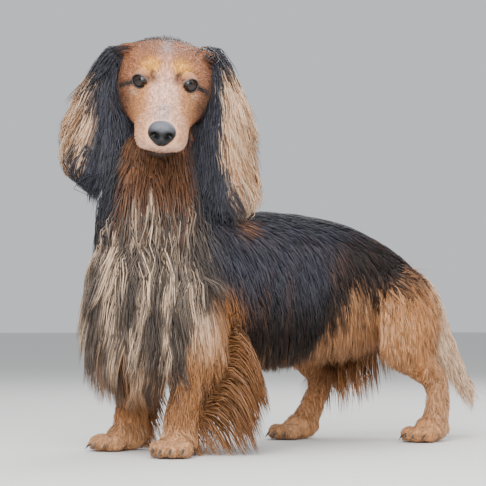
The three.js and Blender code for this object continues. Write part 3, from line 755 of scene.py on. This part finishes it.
# Lids: dark rims of bare skin round each eye, rolled over the globe, with a drawn-out outer corner,
# widening under the coat. Steps outwards from the opening: share of its size, height over the globe.
LID_STEPS = ((1.0, 0.2), (1.02, 0.8), (1.1, 1.2), (1.22, 1.2), (1.38, 0.7), (1.56, -0.8))
LID_SIDES, LID_THICKNESS = 72, 0.0005
lid_finish = flecked("lid rim", 0.42, 1500, 0.0003)
for s, label in zip(LEFT_RIGHT, ("left", "right")):
    across, out, up = eye_axes(s)
    a = np.linspace(0, 2 * np.pi, LID_SIDES, endpoint=False)
    to_corner = np.cos(a) * s
    x = OPENING[0] * np.cos(a) * (1 + 0.10 * smoothstep(0.7, 1, to_corner))
    z = OPENING[1] * np.sin(a) * (1 - 0.14 * np.cos(a) ** 2) - 0.6 * to_corner
    rings = []
    for grow, stand in LID_STEPS:
        px, pz = x * grow, z * grow
        radius = EYE_RADIUS + stand
        depth = np.sqrt(np.maximum(radius**2 - px**2 - pz**2, 1.0))
        rings.append(mirrored(EYE_AT, s) + np.outer(px, across) + np.outer(depth, out) + np.outer(pz, up))
    faces = closed_faces(len(LID_STEPS), LID_SIDES)[:-2]
    mesh = smooth_mesh("lids_" + label, from_head(np.concatenate(rings)), faces)
    thick = bmesh.new()
    thick.from_mesh(mesh)
    bmesh.ops.recalc_face_normals(thick, faces=thick.faces)
    bmesh.ops.solidify(thick, geom=thick.faces[:], thickness=LID_THICKNESS)
    thick.to_mesh(mesh)
    thick.free()
    mesh.shade_smooth()
    corners = np.empty(len(mesh.vertices) * 3)
    mesh.vertices.foreach_get("co", corners)
    local = in_head(corners.reshape(-1, 3) * MM_PER_M + SHIFT)
    add_colour(mesh, "marking", face_colour(local))
    mesh.materials.append(lid_finish)
    lids = add_object("lids_" + label, mesh)

# Nose: a moist pebbled black pad, wide above and narrow below, split by a groove, with two comma
# nostrils that run out to the side. Its top is painted a paler bluish grey as a painted reflection.
NOSE_AT, NOSE_HALF = np.array([0, -121, -18.8]), np.array([12.9, 9.6, 11.6])
NOSE_SIDES, NOSE_RINGS = 96, 64
NOSE_BLACK = np.array([0.006, 0.006, 0.007])
NOSE_TOP_SHEEN = np.array([0.085, 0.09, 0.105])
NOSTRIL_SHADE = np.array([0.001, 0.001, 0.001])
pad = ball((0, 0, 0), [1, 1, 1], around=NOSE_SIDES, down=NOSE_RINGS)
px, py, pz = np.moveaxis(pad, -1, 0)
front = smoothstep(0.1, -0.5, py)
narrow = 1 - 0.30 * smoothstep(0.1, -0.9, pz)
pad = np.sign(pad) * np.abs(pad) ** np.array([0.86, 0.9, 0.9]) * NOSE_HALF * np.stack(
    [narrow, np.ones_like(px), np.ones_like(px)], -1)
ax = np.abs(pad[..., 0])
hole = np.exp(-(((ax - 6.4) / 4.0) ** 2 + ((pad[..., 2] + 0.8) / 3.4) ** 2))
comma = np.exp(-(((ax - 10.2) / 2.6) ** 2 + ((pad[..., 2] + 2.6) / 1.1) ** 2))
wing = np.exp(-(((ax - 9.2) / 3.0) ** 2 + ((pad[..., 2] - 2.6) / 2.6) ** 2))
groove = np.exp(-((ax / 0.8) ** 2)) * smoothstep(3, -2, pad[..., 2])
dish = np.exp(-((ax / 3.4) ** 2)) * smoothstep(-2, 6, pad[..., 2])
pad[..., 1] += front * (6.4 * hole + 1.2 * comma - 0.7 * wing + 1.1 * groove + 0.6 * dish)
nose_points = from_head((pad + NOSE_AT).reshape(-1, 3))
nose_mesh = smooth_mesh("nose_pad", nose_points, closed_faces(NOSE_RINGS, NOSE_SIDES))
# The nostrils' insides are painted blacker than the pad as painted shade in the holes.
inside_nostril = smoothstep(0.15, 0.5, hole + 0.9 * comma) * front
# The top of the pad is painted paler and bluish as a painted reflection of the light.
nose_black_and_sheen = toward(NOSE_BLACK, NOSE_TOP_SHEEN, smoothstep(0, 9, pad[..., 2]))
add_colour(nose_mesh, "marking", toward(nose_black_and_sheen, NOSTRIL_SHADE, inside_nostril).reshape(-1, 3))
nose_finish, nose_shader = new_material("nose leather", 0.36, Specular_IOR_Level=0.35)
tree = nose_finish.node_tree
pebbles = tree.nodes.new("ShaderNodeTexVoronoi")
pebbles.inputs["Scale"].default_value = 950
where = tree.nodes.new("ShaderNodeTexCoord")
tree.links.new(where.outputs["Object"], pebbles.inputs["Vector"])
tree.links.new(attribute(nose_finish, "marking").outputs["Color"], nose_shader.inputs["Base Color"])
raised(nose_finish, nose_shader, pebbles.outputs["Distance"], 0.0006, 0.6)
nose_mesh.materials.append(nose_finish)
add_object("nose_pad", nose_mesh, "nose")

# Claws: short dark horn claws, one to a toe, rooted in the toe's front and curved down to just clear
# of the floor.
CLAW_RINGS, CLAW_SIDES, CLAW_HALF = 7, 10, 2.1
CLAW_HORN = (0.05, 0.035, 0.028, 1)
claw_points, claw_faces = [], []
for x, y, turn in PAWS:
    spin = turned(2, math.radians(turn))
    for dx, dy in TOES:
        rings = []
        for t in np.linspace(0, 1, CLAW_RINGS):
            centre = np.array([dx, dy - 7.5 - 8.5 * t, 9.0 - 1.5 * t - 5.0 * t * t])
            a = np.linspace(0, 2 * np.pi, CLAW_SIDES, endpoint=False)
            half = CLAW_HALF * (1 - 0.9 * t)
            rings.append(centre + np.stack([half * np.cos(a), 0 * a, 1.25 * half * np.sin(a)], -1))
        rings = np.array(rings) @ spin.T + [x, y, 0]
        claw_faces += closed_faces(CLAW_RINGS, CLAW_SIDES, len(claw_points) * CLAW_RINGS * CLAW_SIDES)
        claw_points.append(rings.reshape(-1, 3))
claw_mesh = smooth_mesh("claws", np.concatenate(claw_points), claw_faces)
claw_mesh.materials.append(flecked("claw horn", 0.38, 500, 0.0002, colour=CLAW_HORN))
add_object("claws", claw_mesh)

# Ear leathers: two long leaves hung high on the skull and lifted outwards, cupped towards the
# head. Rows of front edge, back edge and height, in the head's frame.
EAR_ROWS = {
    "left": [[32, 40, 37], [41, 51, 35], [42.5, 62, 20], [44.5, 69, 3], [43, 75, -15], [37, 78, -34],
             [32, 80, -56], [36, 79, -77], [44, 74, -94], [52, 66, -103]],
    "right": [[34, 44, 31], [44, 58, 27], [46, 66, 13], [44, 73, -7], [37, 79, -27], [30.5, 80, -46],
              [29, 78, -66], [29, 70, -82], [36, 58, -92]],
}
EAR_SWEEP, EAR_HANG, EAR_CUP, EAR_THICKNESS = 0.55, 0.42, 0.16, 2.2
EAR_RINGS, EAR_SIDES = 50, 36


def leaf(rows, side):
    """An ear's skin as rings down its leaf."""
    front, back, z = eased(rows, EAR_RINGS).T[:, :, None]
    half = (back - front) / 2
    foot = 10 - EAR_HANG * (30 - z) + EAR_SWEEP * half
    a = np.linspace(0, 2 * np.pi, EAR_SIDES, endpoint=False)
    across = np.cos(a)
    out = EAR_CUP * half * (1 - across**2) + EAR_THICKNESS * np.sin(a)
    x = front + half * (1 + across) + out * 0.5
    return np.stack(np.broadcast_arrays(side * x, foot + EAR_SWEEP * half * across - out * 0.85, z), -1)


ear_rings = {}
for s, label in zip(LEFT_RIGHT, ("left", "right")):
    ear_rings[label] = from_head(outward(leaf(EAR_ROWS[label], s)))
    points = ear_rings[label].reshape(-1, 3)
    mesh = smooth_mesh("ear_leather_" + label, points, closed_faces(EAR_RINGS, EAR_SIDES))
    add_colour(mesh, "marking", np.broadcast_to(BLACK * 1.5, points.shape))
    mesh.materials.append(skin_finish)
    add_object("ear_leather_" + label, mesh, "ear_" + label)

# The coat: thousands of thin tapered tufts, each a closed three-sided blade rooted in the skin.
# Tufts near one another lean in to a shared lock and wave with it. They follow the lie of the hair,
# sink with their weight and are kept outside the skin. Each one's colour comes from the markings.
DOWN = np.array([0.0, 0, -1])
SEED = 20240611
ROOT_DEPTH, LOWEST_HAIR, NEAREST_SKIN, SAME_WAY = 1.0, 1.0, 30.0, 0.3
STRANDS_ACROSS, STRANDS_ALONG, STRAND_SHIFT = 6, 0.06, 90
UNWRAP_SPAN = 0.003
rng = np.random.default_rng(SEED)
all_faces = list(skin_faces)
for start in (len(skin_points), len(skin_points) + EAR_RINGS * EAR_SIDES):
    all_faces += closed_faces(EAR_RINGS, EAR_SIDES, start)
all_points = np.concatenate([skin_points, *(rings.reshape(-1, 3) for rings in ear_rings.values())])
skin_tree = BVHTree.FromPolygons(all_points.tolist(), all_faces)


def roots_on(rings, count, density=None):
    """Roots over a skin of rings: point, normal and place in the unwrap, a little in from its edge."""
    rings = outward(rings)
    a, b = rings[:-1], rings[1:]
    c, d = np.roll(b, -1, 1), np.roll(a, -1, 1)
    normal = np.cross(c - a, b - d)
    area = np.linalg.norm(normal, axis=-1)
    middle = (a + b + c + d) / 4
    if density is not None:
        area = area * density(middle.reshape(-1, 3)).reshape(area.shape)
    pick = rng.choice(area.size, count, p=(area / area.sum()).ravel())
    r, s = np.unravel_index(pick, area.shape)
    u, v = rng.random(count), rng.random(count)
    point = ((a[r, s] * (1 - v[:, None]) + d[r, s] * v[:, None]) * (1 - u[:, None])
             + (b[r, s] * (1 - v[:, None]) + c[r, s] * v[:, None]) * u[:, None])
    place = np.stack([(s + v) / rings.shape[1], (r + u) / (rings.shape[0] - 1)], -1)
    return point, unit(normal[r, s]), 0.02 + 0.96 * place


def on_skin(point, normal, place, reach=5.0):
    """Roots moved onto the melted skin; those hidden inside another part are dropped."""
    found = [skin_tree.find_nearest(Vector(p), reach) for p in point]
    keep = np.array([hit[0] is not None for hit in found])
    at = np.array([hit[0] for hit in found if hit[0] is not None])
    out = np.array([hit[1] for hit in found if hit[0] is not None])
    facing = (out * normal[keep]).sum(-1) > SAME_WAY
    return at[facing], out[facing], place[keep][facing]


def centrelines(at, out, lie, length, steps, droop, lift, wave, phase):
    """Each tuft's middle line as steps + 1 points."""
    lie = unit(lie - out * (lie * out).sum(-1, keepdims=True))
    line = [at - out * ROOT_DEPTH]
    for k in range(steps):
        t = (k + 0.5) / steps
        heading = lie + DOWN * (droop * t)[:, None] + out * (lift * (1 - 1.5 * t))[:, None]
        side = np.cross(lie, out)
        heading = heading + side * (wave * np.sin(2 * np.pi * (phase + 1.3 * t)))[:, None]
        line.append(line[-1] + unit(heading) * (length / steps)[:, None])
    return np.stack(line, 1)


def kept_outside(line, gap):
    """Points that sank into the skin are lifted back over it."""
    flat = line[:, 1:].reshape(-1, 3)
    lifted = flat.copy()
    gaps = np.repeat(gap, line.shape[1] - 1)
    for i, p in enumerate(flat.tolist()):
        at, out, _, _ = skin_tree.find_nearest(Vector(p), NEAREST_SKIN)
        if at is None:
            continue
        height = (Vector(p) - at).dot(out)
        if height < gaps[i]:
            lifted[i] = at + out * gaps[i]
    line[:, 1:] = lifted.reshape(line[:, 1:].shape)
    return line


def tuft_mesh(name, corners, steps):
    """A mesh of closed blades of three corners a step and a tip, and its triangles' corner numbers."""
    count, each = corners.shape[:2]
    tip = each - 1
    faces = [(0, 2, 1)]
    for k in range(steps - 1):
        for j in range(3):
            p, q = 3 * k + j, 3 * k + (j + 1) % 3
            faces += [(p, q, q + 3), (p, q + 3, p + 3)]
    faces += [(tip - 3 + j, tip - 3 + (j + 1) % 3, tip) for j in range(3)]
    triangles = (np.array(faces)[None] + np.arange(count)[:, None, None] * each).reshape(-1)
    mesh = bpy.data.meshes.new(name)
    mesh.vertices.add(count * each)
    mesh.vertices.foreach_set("co", in_model(corners.reshape(-1, 3)).ravel())
    mesh.loops.add(len(triangles))
    mesh.loops.foreach_set("vertex_index", triangles)
    mesh.polygons.add(len(triangles) // 3)
    mesh.polygons.foreach_set("loop_start", np.arange(0, len(triangles), 3))
    mesh.update(calc_edges=True)
    mesh.shade_smooth()
    return mesh, triangles


def coat_piece(name, roots, lie, length, width, colour_of, steps=4, droop=0.5, lift=0.3, wave=0.15,
               gather=0.6, lock_tufts=14, gap=(0.6, 2.5), stray=0.06, limit=None, spread=0.15, contrast=1.0):
    """One piece of coat: tufts as closed blades, with colours, and places in the skin's unwrap.

    droop, lift and wave bend a tuft down, out and sideways. gather draws it in to the middle line of
    its lock, from which spread keeps it apart. gap is its height over the skin, as a range or a most.
    """
    at, out, place = roots
    count = len(at)
    locks = max(1, int(count / lock_tufts))
    leaders = rng.choice(count, locks, replace=False)
    tree = KDTree(locks)
    for i, leader in enumerate(leaders):
        tree.insert(at[leader], i)
    tree.balance()
    lock = np.array([tree.find(p)[1] for p in at])
    phase = rng.random(locks)
    lock_tone = rng.random(locks)
    strand_tone = rng.random(count)
    droop, lift, wave = (np.broadcast_to(v, count) for v in (droop, lift, wave))

    # Middle lines, drawn in to those of the lock's leader
    own = centrelines(at, out, lie + rng.normal(0, stray, lie.shape), length * rng.uniform(0.8, 1.1, count),
                      steps, droop, lift, wave, phase[lock] + rng.normal(0, 0.05, count))
    own_leader = leaders[lock]
    pull = (np.linspace(0, 1, steps + 1) ** 1.2)[None, :, None] * gather
    root_off = (at - at[own_leader])[:, None]
    line = own * (1 - pull) + (own[own_leader] + root_off * spread) * pull
    if limit is not None:
        line = limit(line)
    gaps = rng.uniform(*gap, count) if isinstance(gap, tuple) else gap * rng.random(count) + 0.5
    line = kept_outside(line, gaps)
    line[..., 2] = np.maximum(line[..., 2], LOWEST_HAIR)

    # Blades round the lines, widest a quarter of the way along
    way = unit(np.gradient(line, axis=1))
    side = unit(np.cross(way, out[:, None]))
    top = np.cross(side, way)
    t = np.linspace(0, 1, steps + 1)
    taper = (np.minimum(1, 0.75 + t) * (1 - t**2.2))[None, :, None] * (width * 0.5)[:, None, None]
    rings = np.stack([line + side * taper, line - side * taper, line + top * taper * 0.6], 2)[:, :-1]
    corners = np.concatenate([rings.reshape(count, -1, 3), line[:, -1:]], 1)
    mesh, triangles = tuft_mesh(name, corners, steps)

    # Roots painted darker as painted shade within the coat and tips a little paler, strands that run the
    # whole length, and a small patch of the unwrap
    along = np.concatenate([np.repeat(t[:-1], 3), [1.0]])
    across = np.concatenate([np.tile([0, 1, 0.5], steps), [0.5]])
    colour = colour_of(at, lock_tone[lock], strand_tone)
    root_shade = (1 - contrast * (0.38 - 0.48 * along))[None, :, None]
    by_strand = (1 + contrast * 0.4 * (strand_tone - 0.5))[:, None, None]
    add_colour(mesh, "marking", (colour[:, None] * (root_shade * by_strand)).reshape(-1, 3))
    blade = mesh.attributes.new("blade", "FLOAT_VECTOR", "POINT")
    strand_place = np.stack(np.broadcast_arrays(across * width[:, None] * STRANDS_ACROSS,
                                                along * length[:, None] * STRANDS_ALONG,
                                                strand_tone[:, None] * STRAND_SHIFT), -1)
    blade.data.foreach_set("vector", strand_place.ravel())
    patch = np.stack([across, along], -1) - 0.5
    spots = (place[:, None] + patch * UNWRAP_SPAN).reshape(-1, 2)
    uv = mesh.uv_layers.new(name="OFBake")
    uv.data.foreach_set("uv", spots[triangles].ravel())
    mesh.materials.append(hair_finish)
    add_object(name, mesh)


# Each tuft's finish: fine strands run its whole length as streaks of lighter and darker colour and
# as a slight ribbing, on a glossy hair of the marking's colour.
strands, given, made = node_group(
    "strands",
    [("Colour", "NodeSocketColor", (0.5, 0.3, 0.2, 1)), ("Blade", "NodeSocketVector", (0, 0, 0)),
     ("Depth", "NodeSocketFloat", 0.4)],
    [("Colour", "NodeSocketColor"), ("Height", "NodeSocketFloat")])
link = strands.links.new
noise = strands.nodes.new("ShaderNodeTexNoise")
noise.inputs["Scale"].default_value = 1.0
noise.inputs["Detail"].default_value = 2
level = strands.nodes.new("ShaderNodeMapRange")
level.inputs["From Min"].default_value = 0.32
level.inputs["From Max"].default_value = 0.68
less = strands.nodes.new("ShaderNodeMath")
less.operation = "SUBTRACT"
less.inputs[0].default_value = 1.0
shade = strands.nodes.new("ShaderNodeMapRange")
shade.inputs["To Max"].default_value = 1.25
tint = strands.nodes.new("ShaderNodeHueSaturation")
link(given.outputs["Blade"], noise.inputs["Vector"])
link(noise.outputs["Fac"], level.inputs["Value"])
link(given.outputs["Depth"], less.inputs[1])
link(less.outputs[0], shade.inputs["To Min"])
link(level.outputs["Result"], shade.inputs["Value"])
link(shade.outputs["Result"], tint.inputs["Value"])
link(given.outputs["Colour"], tint.inputs["Color"])
link(tint.outputs["Color"], made.inputs["Colour"])
link(level.outputs["Result"], made.inputs["Height"])
hair_finish, hair_shader = new_material("hair", 0.45, Specular_IOR_Level=0.33)
hair_strands = placed_group(hair_finish, strands)
link = hair_finish.node_tree.links.new
link(attribute(hair_finish, "marking").outputs["Color"], hair_strands.inputs["Colour"])
link(attribute(hair_finish, "blade").outputs["Vector"], hair_strands.inputs["Blade"])
link(hair_strands.outputs["Colour"], hair_shader.inputs["Base Color"])
raised(hair_finish, hair_shader, hair_strands.outputs["Height"], 0.0002, 0.5)


def ways(*pairs):
    """A lie blended from (share, direction) pairs."""
    return sum(np.asarray(share)[:, None] * np.asarray(way, float) for share, way in pairs)


def kept(roots, keep):
    """The roots picked by keep."""
    return [values[keep] for values in roots]


# Trunk coat: hair lies flat and back along the spine, falls down the flanks, and hangs in long
# waving locks from the forechest, the keel and the belly. It grows from the trunk's skin.
BODY_SIDE, HELD_IN = 78, 0.75


def beside_body(line):
    """Hair that sticks out past the body's sides is drawn in."""
    over = np.maximum(np.abs(line[..., 0]) - BODY_SIDE, 0)
    line[..., 0] -= np.sign(line[..., 0]) * HELD_IN * over
    return line


def trunk_coat(name, count, density, steps, width, lock_tufts):
    """A piece of the trunk's coat, grown where density says."""
    at, out, place = on_skin(*roots_on(trunk_rings, count, density))
    x, y, z = at.T
    up, front = out[:, 2], smoothstep(48, -5, y)
    spine = smoothstep(0.3, 0.9, up) * (1 - front)
    belly = smoothstep(-0.1, -0.7, up) * (1 - front)
    flank = np.clip(1 - spine - front, 0, 1)
    lie = ways((front, (-0.12, -0.12, -1)), (spine, (0, 1, -0.12)), (flank, (0, 0.32, -1)))
    lie[:, 0] += 0.2 * np.sign(x) * spine + 0.004 * x * front
    lie[:, 0] += front * 0.45 * (ripple(at, 40) - 0.5)
    chest_length = 52 + 26 * smoothstep(210, 150, z) - 30 * smoothstep(110, 80, z)
    length = 34 + (chest_length - 34) * front + 10 * belly + 10 * smoothstep(190, 240, y) * flank
    widths = width * rng.uniform(0.7, 1.3, len(at))
    coat_piece(name, (at, out, place), lie, length, widths, body_colour, steps,
               droop=0.15 + 0.5 * front + 0.8 * belly, lift=0.07 + 0.13 * front, wave=0.08 + 0.22 * front,
               lock_tufts=lock_tufts, gap=(0.8, 4.5), limit=beside_body, spread=0.35)


def on_chest(p):
    return smoothstep(55, 30, p[:, 1])


def on_shoulders(p):
    return smoothstep(25, 50, p[:, 1]) * smoothstep(190, 160, p[:, 1])


def on_loins(p):
    return smoothstep(160, 190, p[:, 1])


trunk_coat("coat_chest", 7800, on_chest, 5, 1.25, 26)
trunk_coat("coat_shoulders", 9100, on_shoulders, 3, 1.5, 10)
trunk_coat("coat_loins", 9500, on_loins, 3, 1.5, 10)

# Neck coat: a long ruff of grey and black hair that falls over the chest and shoulders from a
# shorter, darker throat. It grows from the neck above the chest.
RUFF_FOOT = 180
roots = on_skin(*roots_on(neck_rings, 7100))
at, out, place = kept(roots, roots[0][:, 2] > RUFF_FOOT)
x, y, z = at.T
nape_share = smoothstep(-0.1, 0.7, out[:, 1])
full = smoothstep(285, 240, z)
length = 20 + 50 * full * (1 - 0.35 * nape_share) + 20 * nape_share * (1 - full)
lie = ways((1 - nape_share, (-0.1, -0.02, -1)), (nape_share, (0, 0.7, -0.7)))
lie[:, 0] += 0.005 * x + full * 0.4 * (ripple(at, 40) - 0.5)
coat_piece("coat_neck", (at, out, place), lie, length, rng.uniform(1.0, 1.7, len(at)),
           body_colour, droop=0.3, lift=0.08 + 0.18 * full, wave=0.06 + 0.2 * full, lock_tufts=18,
           gap=1.5 + 8 * full, spread=0.35)

# Leg coats: short and flat down the front of each leg, and long feathers behind. The near foreleg's
# curl out and down to the floor, and the thighs' hang as long dark-rooted curtains. Some feather locks are
# dark hair; on the far hind leg most are painted dark as painted shade under the body.
# Rows: leg, tufts, its skin, the feathers' length, direction and droop, and steps along a tuft.
PAW_TOP = 15
for label, count, rings, back_length, back_way, droop, steps in (
    ("foreleg_left", 5900, fore_rings[0], 86, (0.3, 1, 0.12), 3.0, 6),
    ("foreleg_right", 4400, fore_rings[1], 56, (0, 0.7, -0.75), 0.8, 4),
    ("hindleg_left", 5400, hind_rings[0], 46, (0.1, 0.5, -1), 0.8, 4),
    ("hindleg_right", 5400, hind_rings[1], 92, (0.1, 0.25, -1), 0.6, 4),
):
    hind = label.startswith("hind")
    behind_density = 1.6 if label == "foreleg_left" else 0.4
    # Behind the legs some locks are dark hair; on the far hind leg, under the body, most are painted dark as
    # painted shade.
    dark_and_shade_share = 0.75 if label == "hindleg_right" else 0.25

    def fuller_behind(p):
        toward_back = behind_density * smoothstep(0, 25, p[:, 1] - 15)
        return 1 + toward_back * smoothstep(160, 120, p[:, 2])

    roots = on_skin(*roots_on(rings, count, fuller_behind))
    at, out, place = kept(roots, roots[0][:, 2] > PAW_TOP)
    behind_leg = smoothstep(0.05, 0.7, out[:, 1]) * smoothstep(20, 42, at[:, 2])
    if hind:
        behind_leg = behind_leg * smoothstep(70, 100, at[:, 2])
    lie = ways((1 - behind_leg, (0, 0.12, -1)), (behind_leg, back_way))
    length = 11 + (23 if hind else 16) * smoothstep(70, 120, at[:, 2])
    length = length + (back_length - length) * behind_leg

    def leg_colour(p, lock, strand):
        dark_and_shaded_locks = behind_leg * dark_and_shade_share * smoothstep(0.7, 0.3, lock)
        return toward(body_colour(p, lock, strand), UMBER * 1.1, dark_and_shaded_locks)

    coat_piece("coat_" + label, (at, out, place), lie, length, rng.uniform(0.9, 1.6, len(at)),
               leg_colour, steps, droop=0.2 + droop * behind_leg, lift=0.08 + 0.12 * behind_leg,
               wave=0.08 + 0.06 * behind_leg, gather=0.55, lock_tufts=12, gap=(0.5, 2.5),
               limit=beside_body if hind else None)

# Tail coat: long cream feathers that fan out and hang from the underside of the tail, and lie along
# its top. They grow from the tail's skin and are drawn in where they would stream out behind.
TAIL_BACK, DRAWN_IN = 452, 0.35
at, out, place = on_skin(*roots_on(tail_rings, 3500))
below = smoothstep(0.4, -0.4, out[:, 2])
high = smoothstep(140, 165, at[:, 2])
lie = ways((1 - below, (0, 0.9, -0.4)), (below, (0, 0.6, -1)))
lie[:, 0] += 0.3 * np.sign(at[:, 0]) * rng.random(len(at))


def before_back(line):
    """Hair that streams out behind the tail's end is drawn in."""
    y = line[..., 1]
    line[..., 1] = np.where(y > TAIL_BACK, TAIL_BACK + (y - TAIL_BACK) * DRAWN_IN, y)
    return line


coat_piece("coat_tail", (at, out, place), lie, 34 + 24 * below, rng.uniform(1.0, 1.6, len(at)),
           body_colour, lift=0.55 + 0.3 * high, wave=0.3, gather=0.5, lock_tufts=12, limit=before_back)

# Paw coat: short close hair over each paw's pad and four toes, flat and forwards, left off the
# soles. Each pad and toe has its own place in the unwrap, in a row of the paws.
PAW_BALLS, PAD_TUFTS, TOE_TUFTS, SOLE_EDGE = 5, 800, 460, 3
paw_roots = []
for i, skin_ball in enumerate(paw_skins):
    paw, toe = divmod(i, PAW_BALLS)
    at, out, place = on_skin(*roots_on(skin_ball, TOE_TUFTS if toe else PAD_TUFTS), reach=2.5)
    place = place * [0.2, 0.18] + [0.25 * paw + 0.01, 0.19 * toe + 0.01]
    paw_roots.append((at, out, place))
roots = [np.concatenate(values) for values in zip(*paw_roots)]
roots = kept(roots, roots[0][:, 2] > SOLE_EDGE)
lie = np.tile([0.0, -0.6, -0.8], (len(roots[0]), 1))
length = rng.uniform(5, 8.5, len(lie))
width = rng.uniform(0.7, 1.1, len(lie))


def paw_colour(p, lock, strand):
    return toward(body_colour(p, lock, strand), CREAM, 0.15 * strand)


coat_piece("coat_paws", roots, lie, length, width, paw_colour, steps=2, droop=0.2, lift=0.12,
           wave=0.1, gather=0.3, gap=(0.3, 1.0))

# Ear coats: black silky hair down the front and tips of each ear, and a tan and cream fringe that
# blows out from its back edge and ends in thin dark curls. Rows of the fringe's reach and height.
EAR_REACH = {
    "left": [[51, 35], [63, 20], [72, 3], [83, -15], [93, -34], [102, -56], [108, -77], [111, -97],
             [102, -114], [84, -125]],
    "right": [[58, 27], [67, 13], [77, -7], [98, -27], [103, -46], [103, -66], [97, -85], [86, -100],
              [62, -107]],
}
BLUE_BLACK = np.array([0.05, 0.05, 0.075])
# Rows: side, ear, height of its foot over the floor, how far its hair turns in, where dark tips start
for s, label, foot_height, inward, dark_from in ((1, "left", 232, 0.25, -84), (-1, "right", 258, 1.0, -52)):
    at, out, place = roots_on(ear_rings[label], 5200)
    local = in_head(at)
    rows = np.array(EAR_ROWS[label], float)[::-1]
    front_edge, back_edge = (np.interp(local[:, 2], rows[:, 2], rows[:, c]) for c in (0, 1))
    share = np.clip((np.abs(local[:, 0]) - front_edge) / (back_edge - front_edge), 0, 1)
    low = smoothstep(-20, -70, local[:, 2])
    fringe = smoothstep(0.5, 0.85, share)
    inner = smoothstep(0.3, 0.0, share)
    lie_local = ways((1 - fringe, (s * 0.06, -0.12, -1)), (fringe, (s * 0.62, 0.12, -0.9)))
    lie_local[:, 0] -= s * inward * inner * smoothstep(20, -20, local[:, 2])
    lie_local[:, 0] -= s * 0.8 * smoothstep(0.6, 0.15, share) * smoothstep(-50, -84, local[:, 2])
    length = 34 + 12 * low + 30 * fringe
    reach = np.array(EAR_REACH[label], float)[::-1]

    def inside_reach(line):
        """The fringe stays within its reach, and the tips end at the ear's foot."""
        root = line[:, :1]
        foot = foot_height + rng.normal(0, 8, (len(line), 1))
        drop = root[..., 2] - line[..., 2].min(1, keepdims=True)
        room = np.clip((root[..., 2] - foot) / np.maximum(drop, 1), 0.25, 1)
        p = in_head(root + (line - root) * room[..., None])
        far = np.interp(p[..., 2], reach[:, 1], reach[:, 0]) * rng.uniform(0.84, 1.04, (len(line), 1))
        over = np.maximum(np.abs(p[..., 0]) - far, 0)
        p[..., 0] -= s * over * 0.9
        return from_head(p)

    def ear_colour(p, lock, strand):
        """Tan and cream behind an edge down the ear, black in front of it and at the foot."""
        x, _, z = in_head(p).T
        wide = np.abs(x) + 6 * (lock - 0.5) + 5 * (strand - 0.5)
        tan = toward(TAN, CREAM, smoothstep(0.2, 0.75, 0.4 * lock + 0.6 * strand))
        dark = toward(BLACK, BLUE_BLACK, 0.5 * strand)
        dark = toward(dark, UMBER, 0.5 * smoothstep(0.75, 0.95, lock) * smoothstep(-30, 10, z))
        edge = 60 - 3 * s + 10 * smoothstep(-45, -82, z) - 5 * smoothstep(-5, 25, z)
        dim = smoothstep(dark_from + 12, dark_from - 12, z + 14 * (lock - 0.5))
        return toward(dark, tan, smoothstep(-3, 4, wide - edge) * (1 - 0.95 * dim))

    coat_piece("coat_ear_" + label, (at, out, place), lie_local @ HEAD_FRAME.T, length,
               rng.uniform(0.9, 1.6, len(at)), ear_colour, steps=5, droop=0.55, lift=0.10, wave=0.24,
               gap=(0.3, 2.6), stray=0.05, limit=inside_reach)

# Face coat: very short hair that runs back from the nose, up over the brow and down the cheeks, a
# little longer at the ears, the jowls and the back of the skull. The lids and nose are left bare.
BARE_LID, LID_FRONT, BARE_NOSE = 1.42, 2, 1.2
at, out, place = on_skin(*roots_on(from_head(head_rings), 15200), reach=10)
local = in_head(at)
folded = np.column_stack([np.abs(local[:, 0]), local[:, 1:]])
lid, front, _ = eye_place(folded)
nose_off = np.linalg.norm((local - NOSE_AT) / (NOSE_HALF + BARE_NOSE), axis=1)
keep = ((lid > BARE_LID) | (front <= LID_FRONT)) & (nose_off > 1)
at, out, place, local = kept((at, out, place, local), keep)
x, y, z = local.T
cheek = smoothstep(20, 40, np.abs(x)) * smoothstep(30, 0, z)
lie_local = ways((1 - cheek, (0, 1, 0.15)), (cheek, (0, 0.7, -0.75)))
lie_local[:, 0] += 0.012 * x
ear_base = smoothstep(20, 32, np.abs(x)) * smoothstep(8, 24, z) * smoothstep(-16, 2, y)
outwards = np.sign(x)[:, None] * [1, 0, 0] + [0, 0.1, -0.25]
lie_local = lie_local * (1 - ear_base[:, None]) + ear_base[:, None] * outwards
behind = smoothstep(12, 38, y) * smoothstep(-30, 10, z + 0.5 * y)
lie_local += behind[:, None] * np.array([0, 0.1, -0.9])
jowl = smoothstep(25, 33, np.abs(x)) * smoothstep(0, -18, z) * smoothstep(-48, -24, y)
lie_local += jowl[:, None] * np.array([0, 0.2, -1.2])
length = 4.2 + 2.6 * smoothstep(-80, -20, y) + 10 * smoothstep(0, 45, y) + 16 * ear_base
length = length + 3 * smoothstep(28, 38, z) + 16 * behind + 14 * jowl
width = rng.uniform(0.5, 0.9, len(at)) + 0.5 * np.maximum(ear_base, behind)
lift = 0.1 + 0.3 * ear_base + 0.1 * smoothstep(30, 40, z)


def head_colour(p, lock, strand):
    """The face's marking, blackened on the back of the skull, the jowls and round the ears."""
    local = in_head(p)
    back = smoothstep(6, 30, local[:, 1])
    sooty = np.maximum(np.maximum(back, 0.8 * jowl), 0.95 * ear_base * smoothstep(0.15, 0.4, lock))
    return toward(face_colour(local, 0.4 * strand + 0.3), toward(RED, BLACK, 0.9), sooty)


coat_piece("coat_face", (at, out, place), lie_local @ HEAD_FRAME.T, length, width, head_colour,
           steps=2, droop=0.0, lift=lift, wave=0.05, gather=0.25, gap=0.5 + 1.5 * ear_base, contrast=0.4)
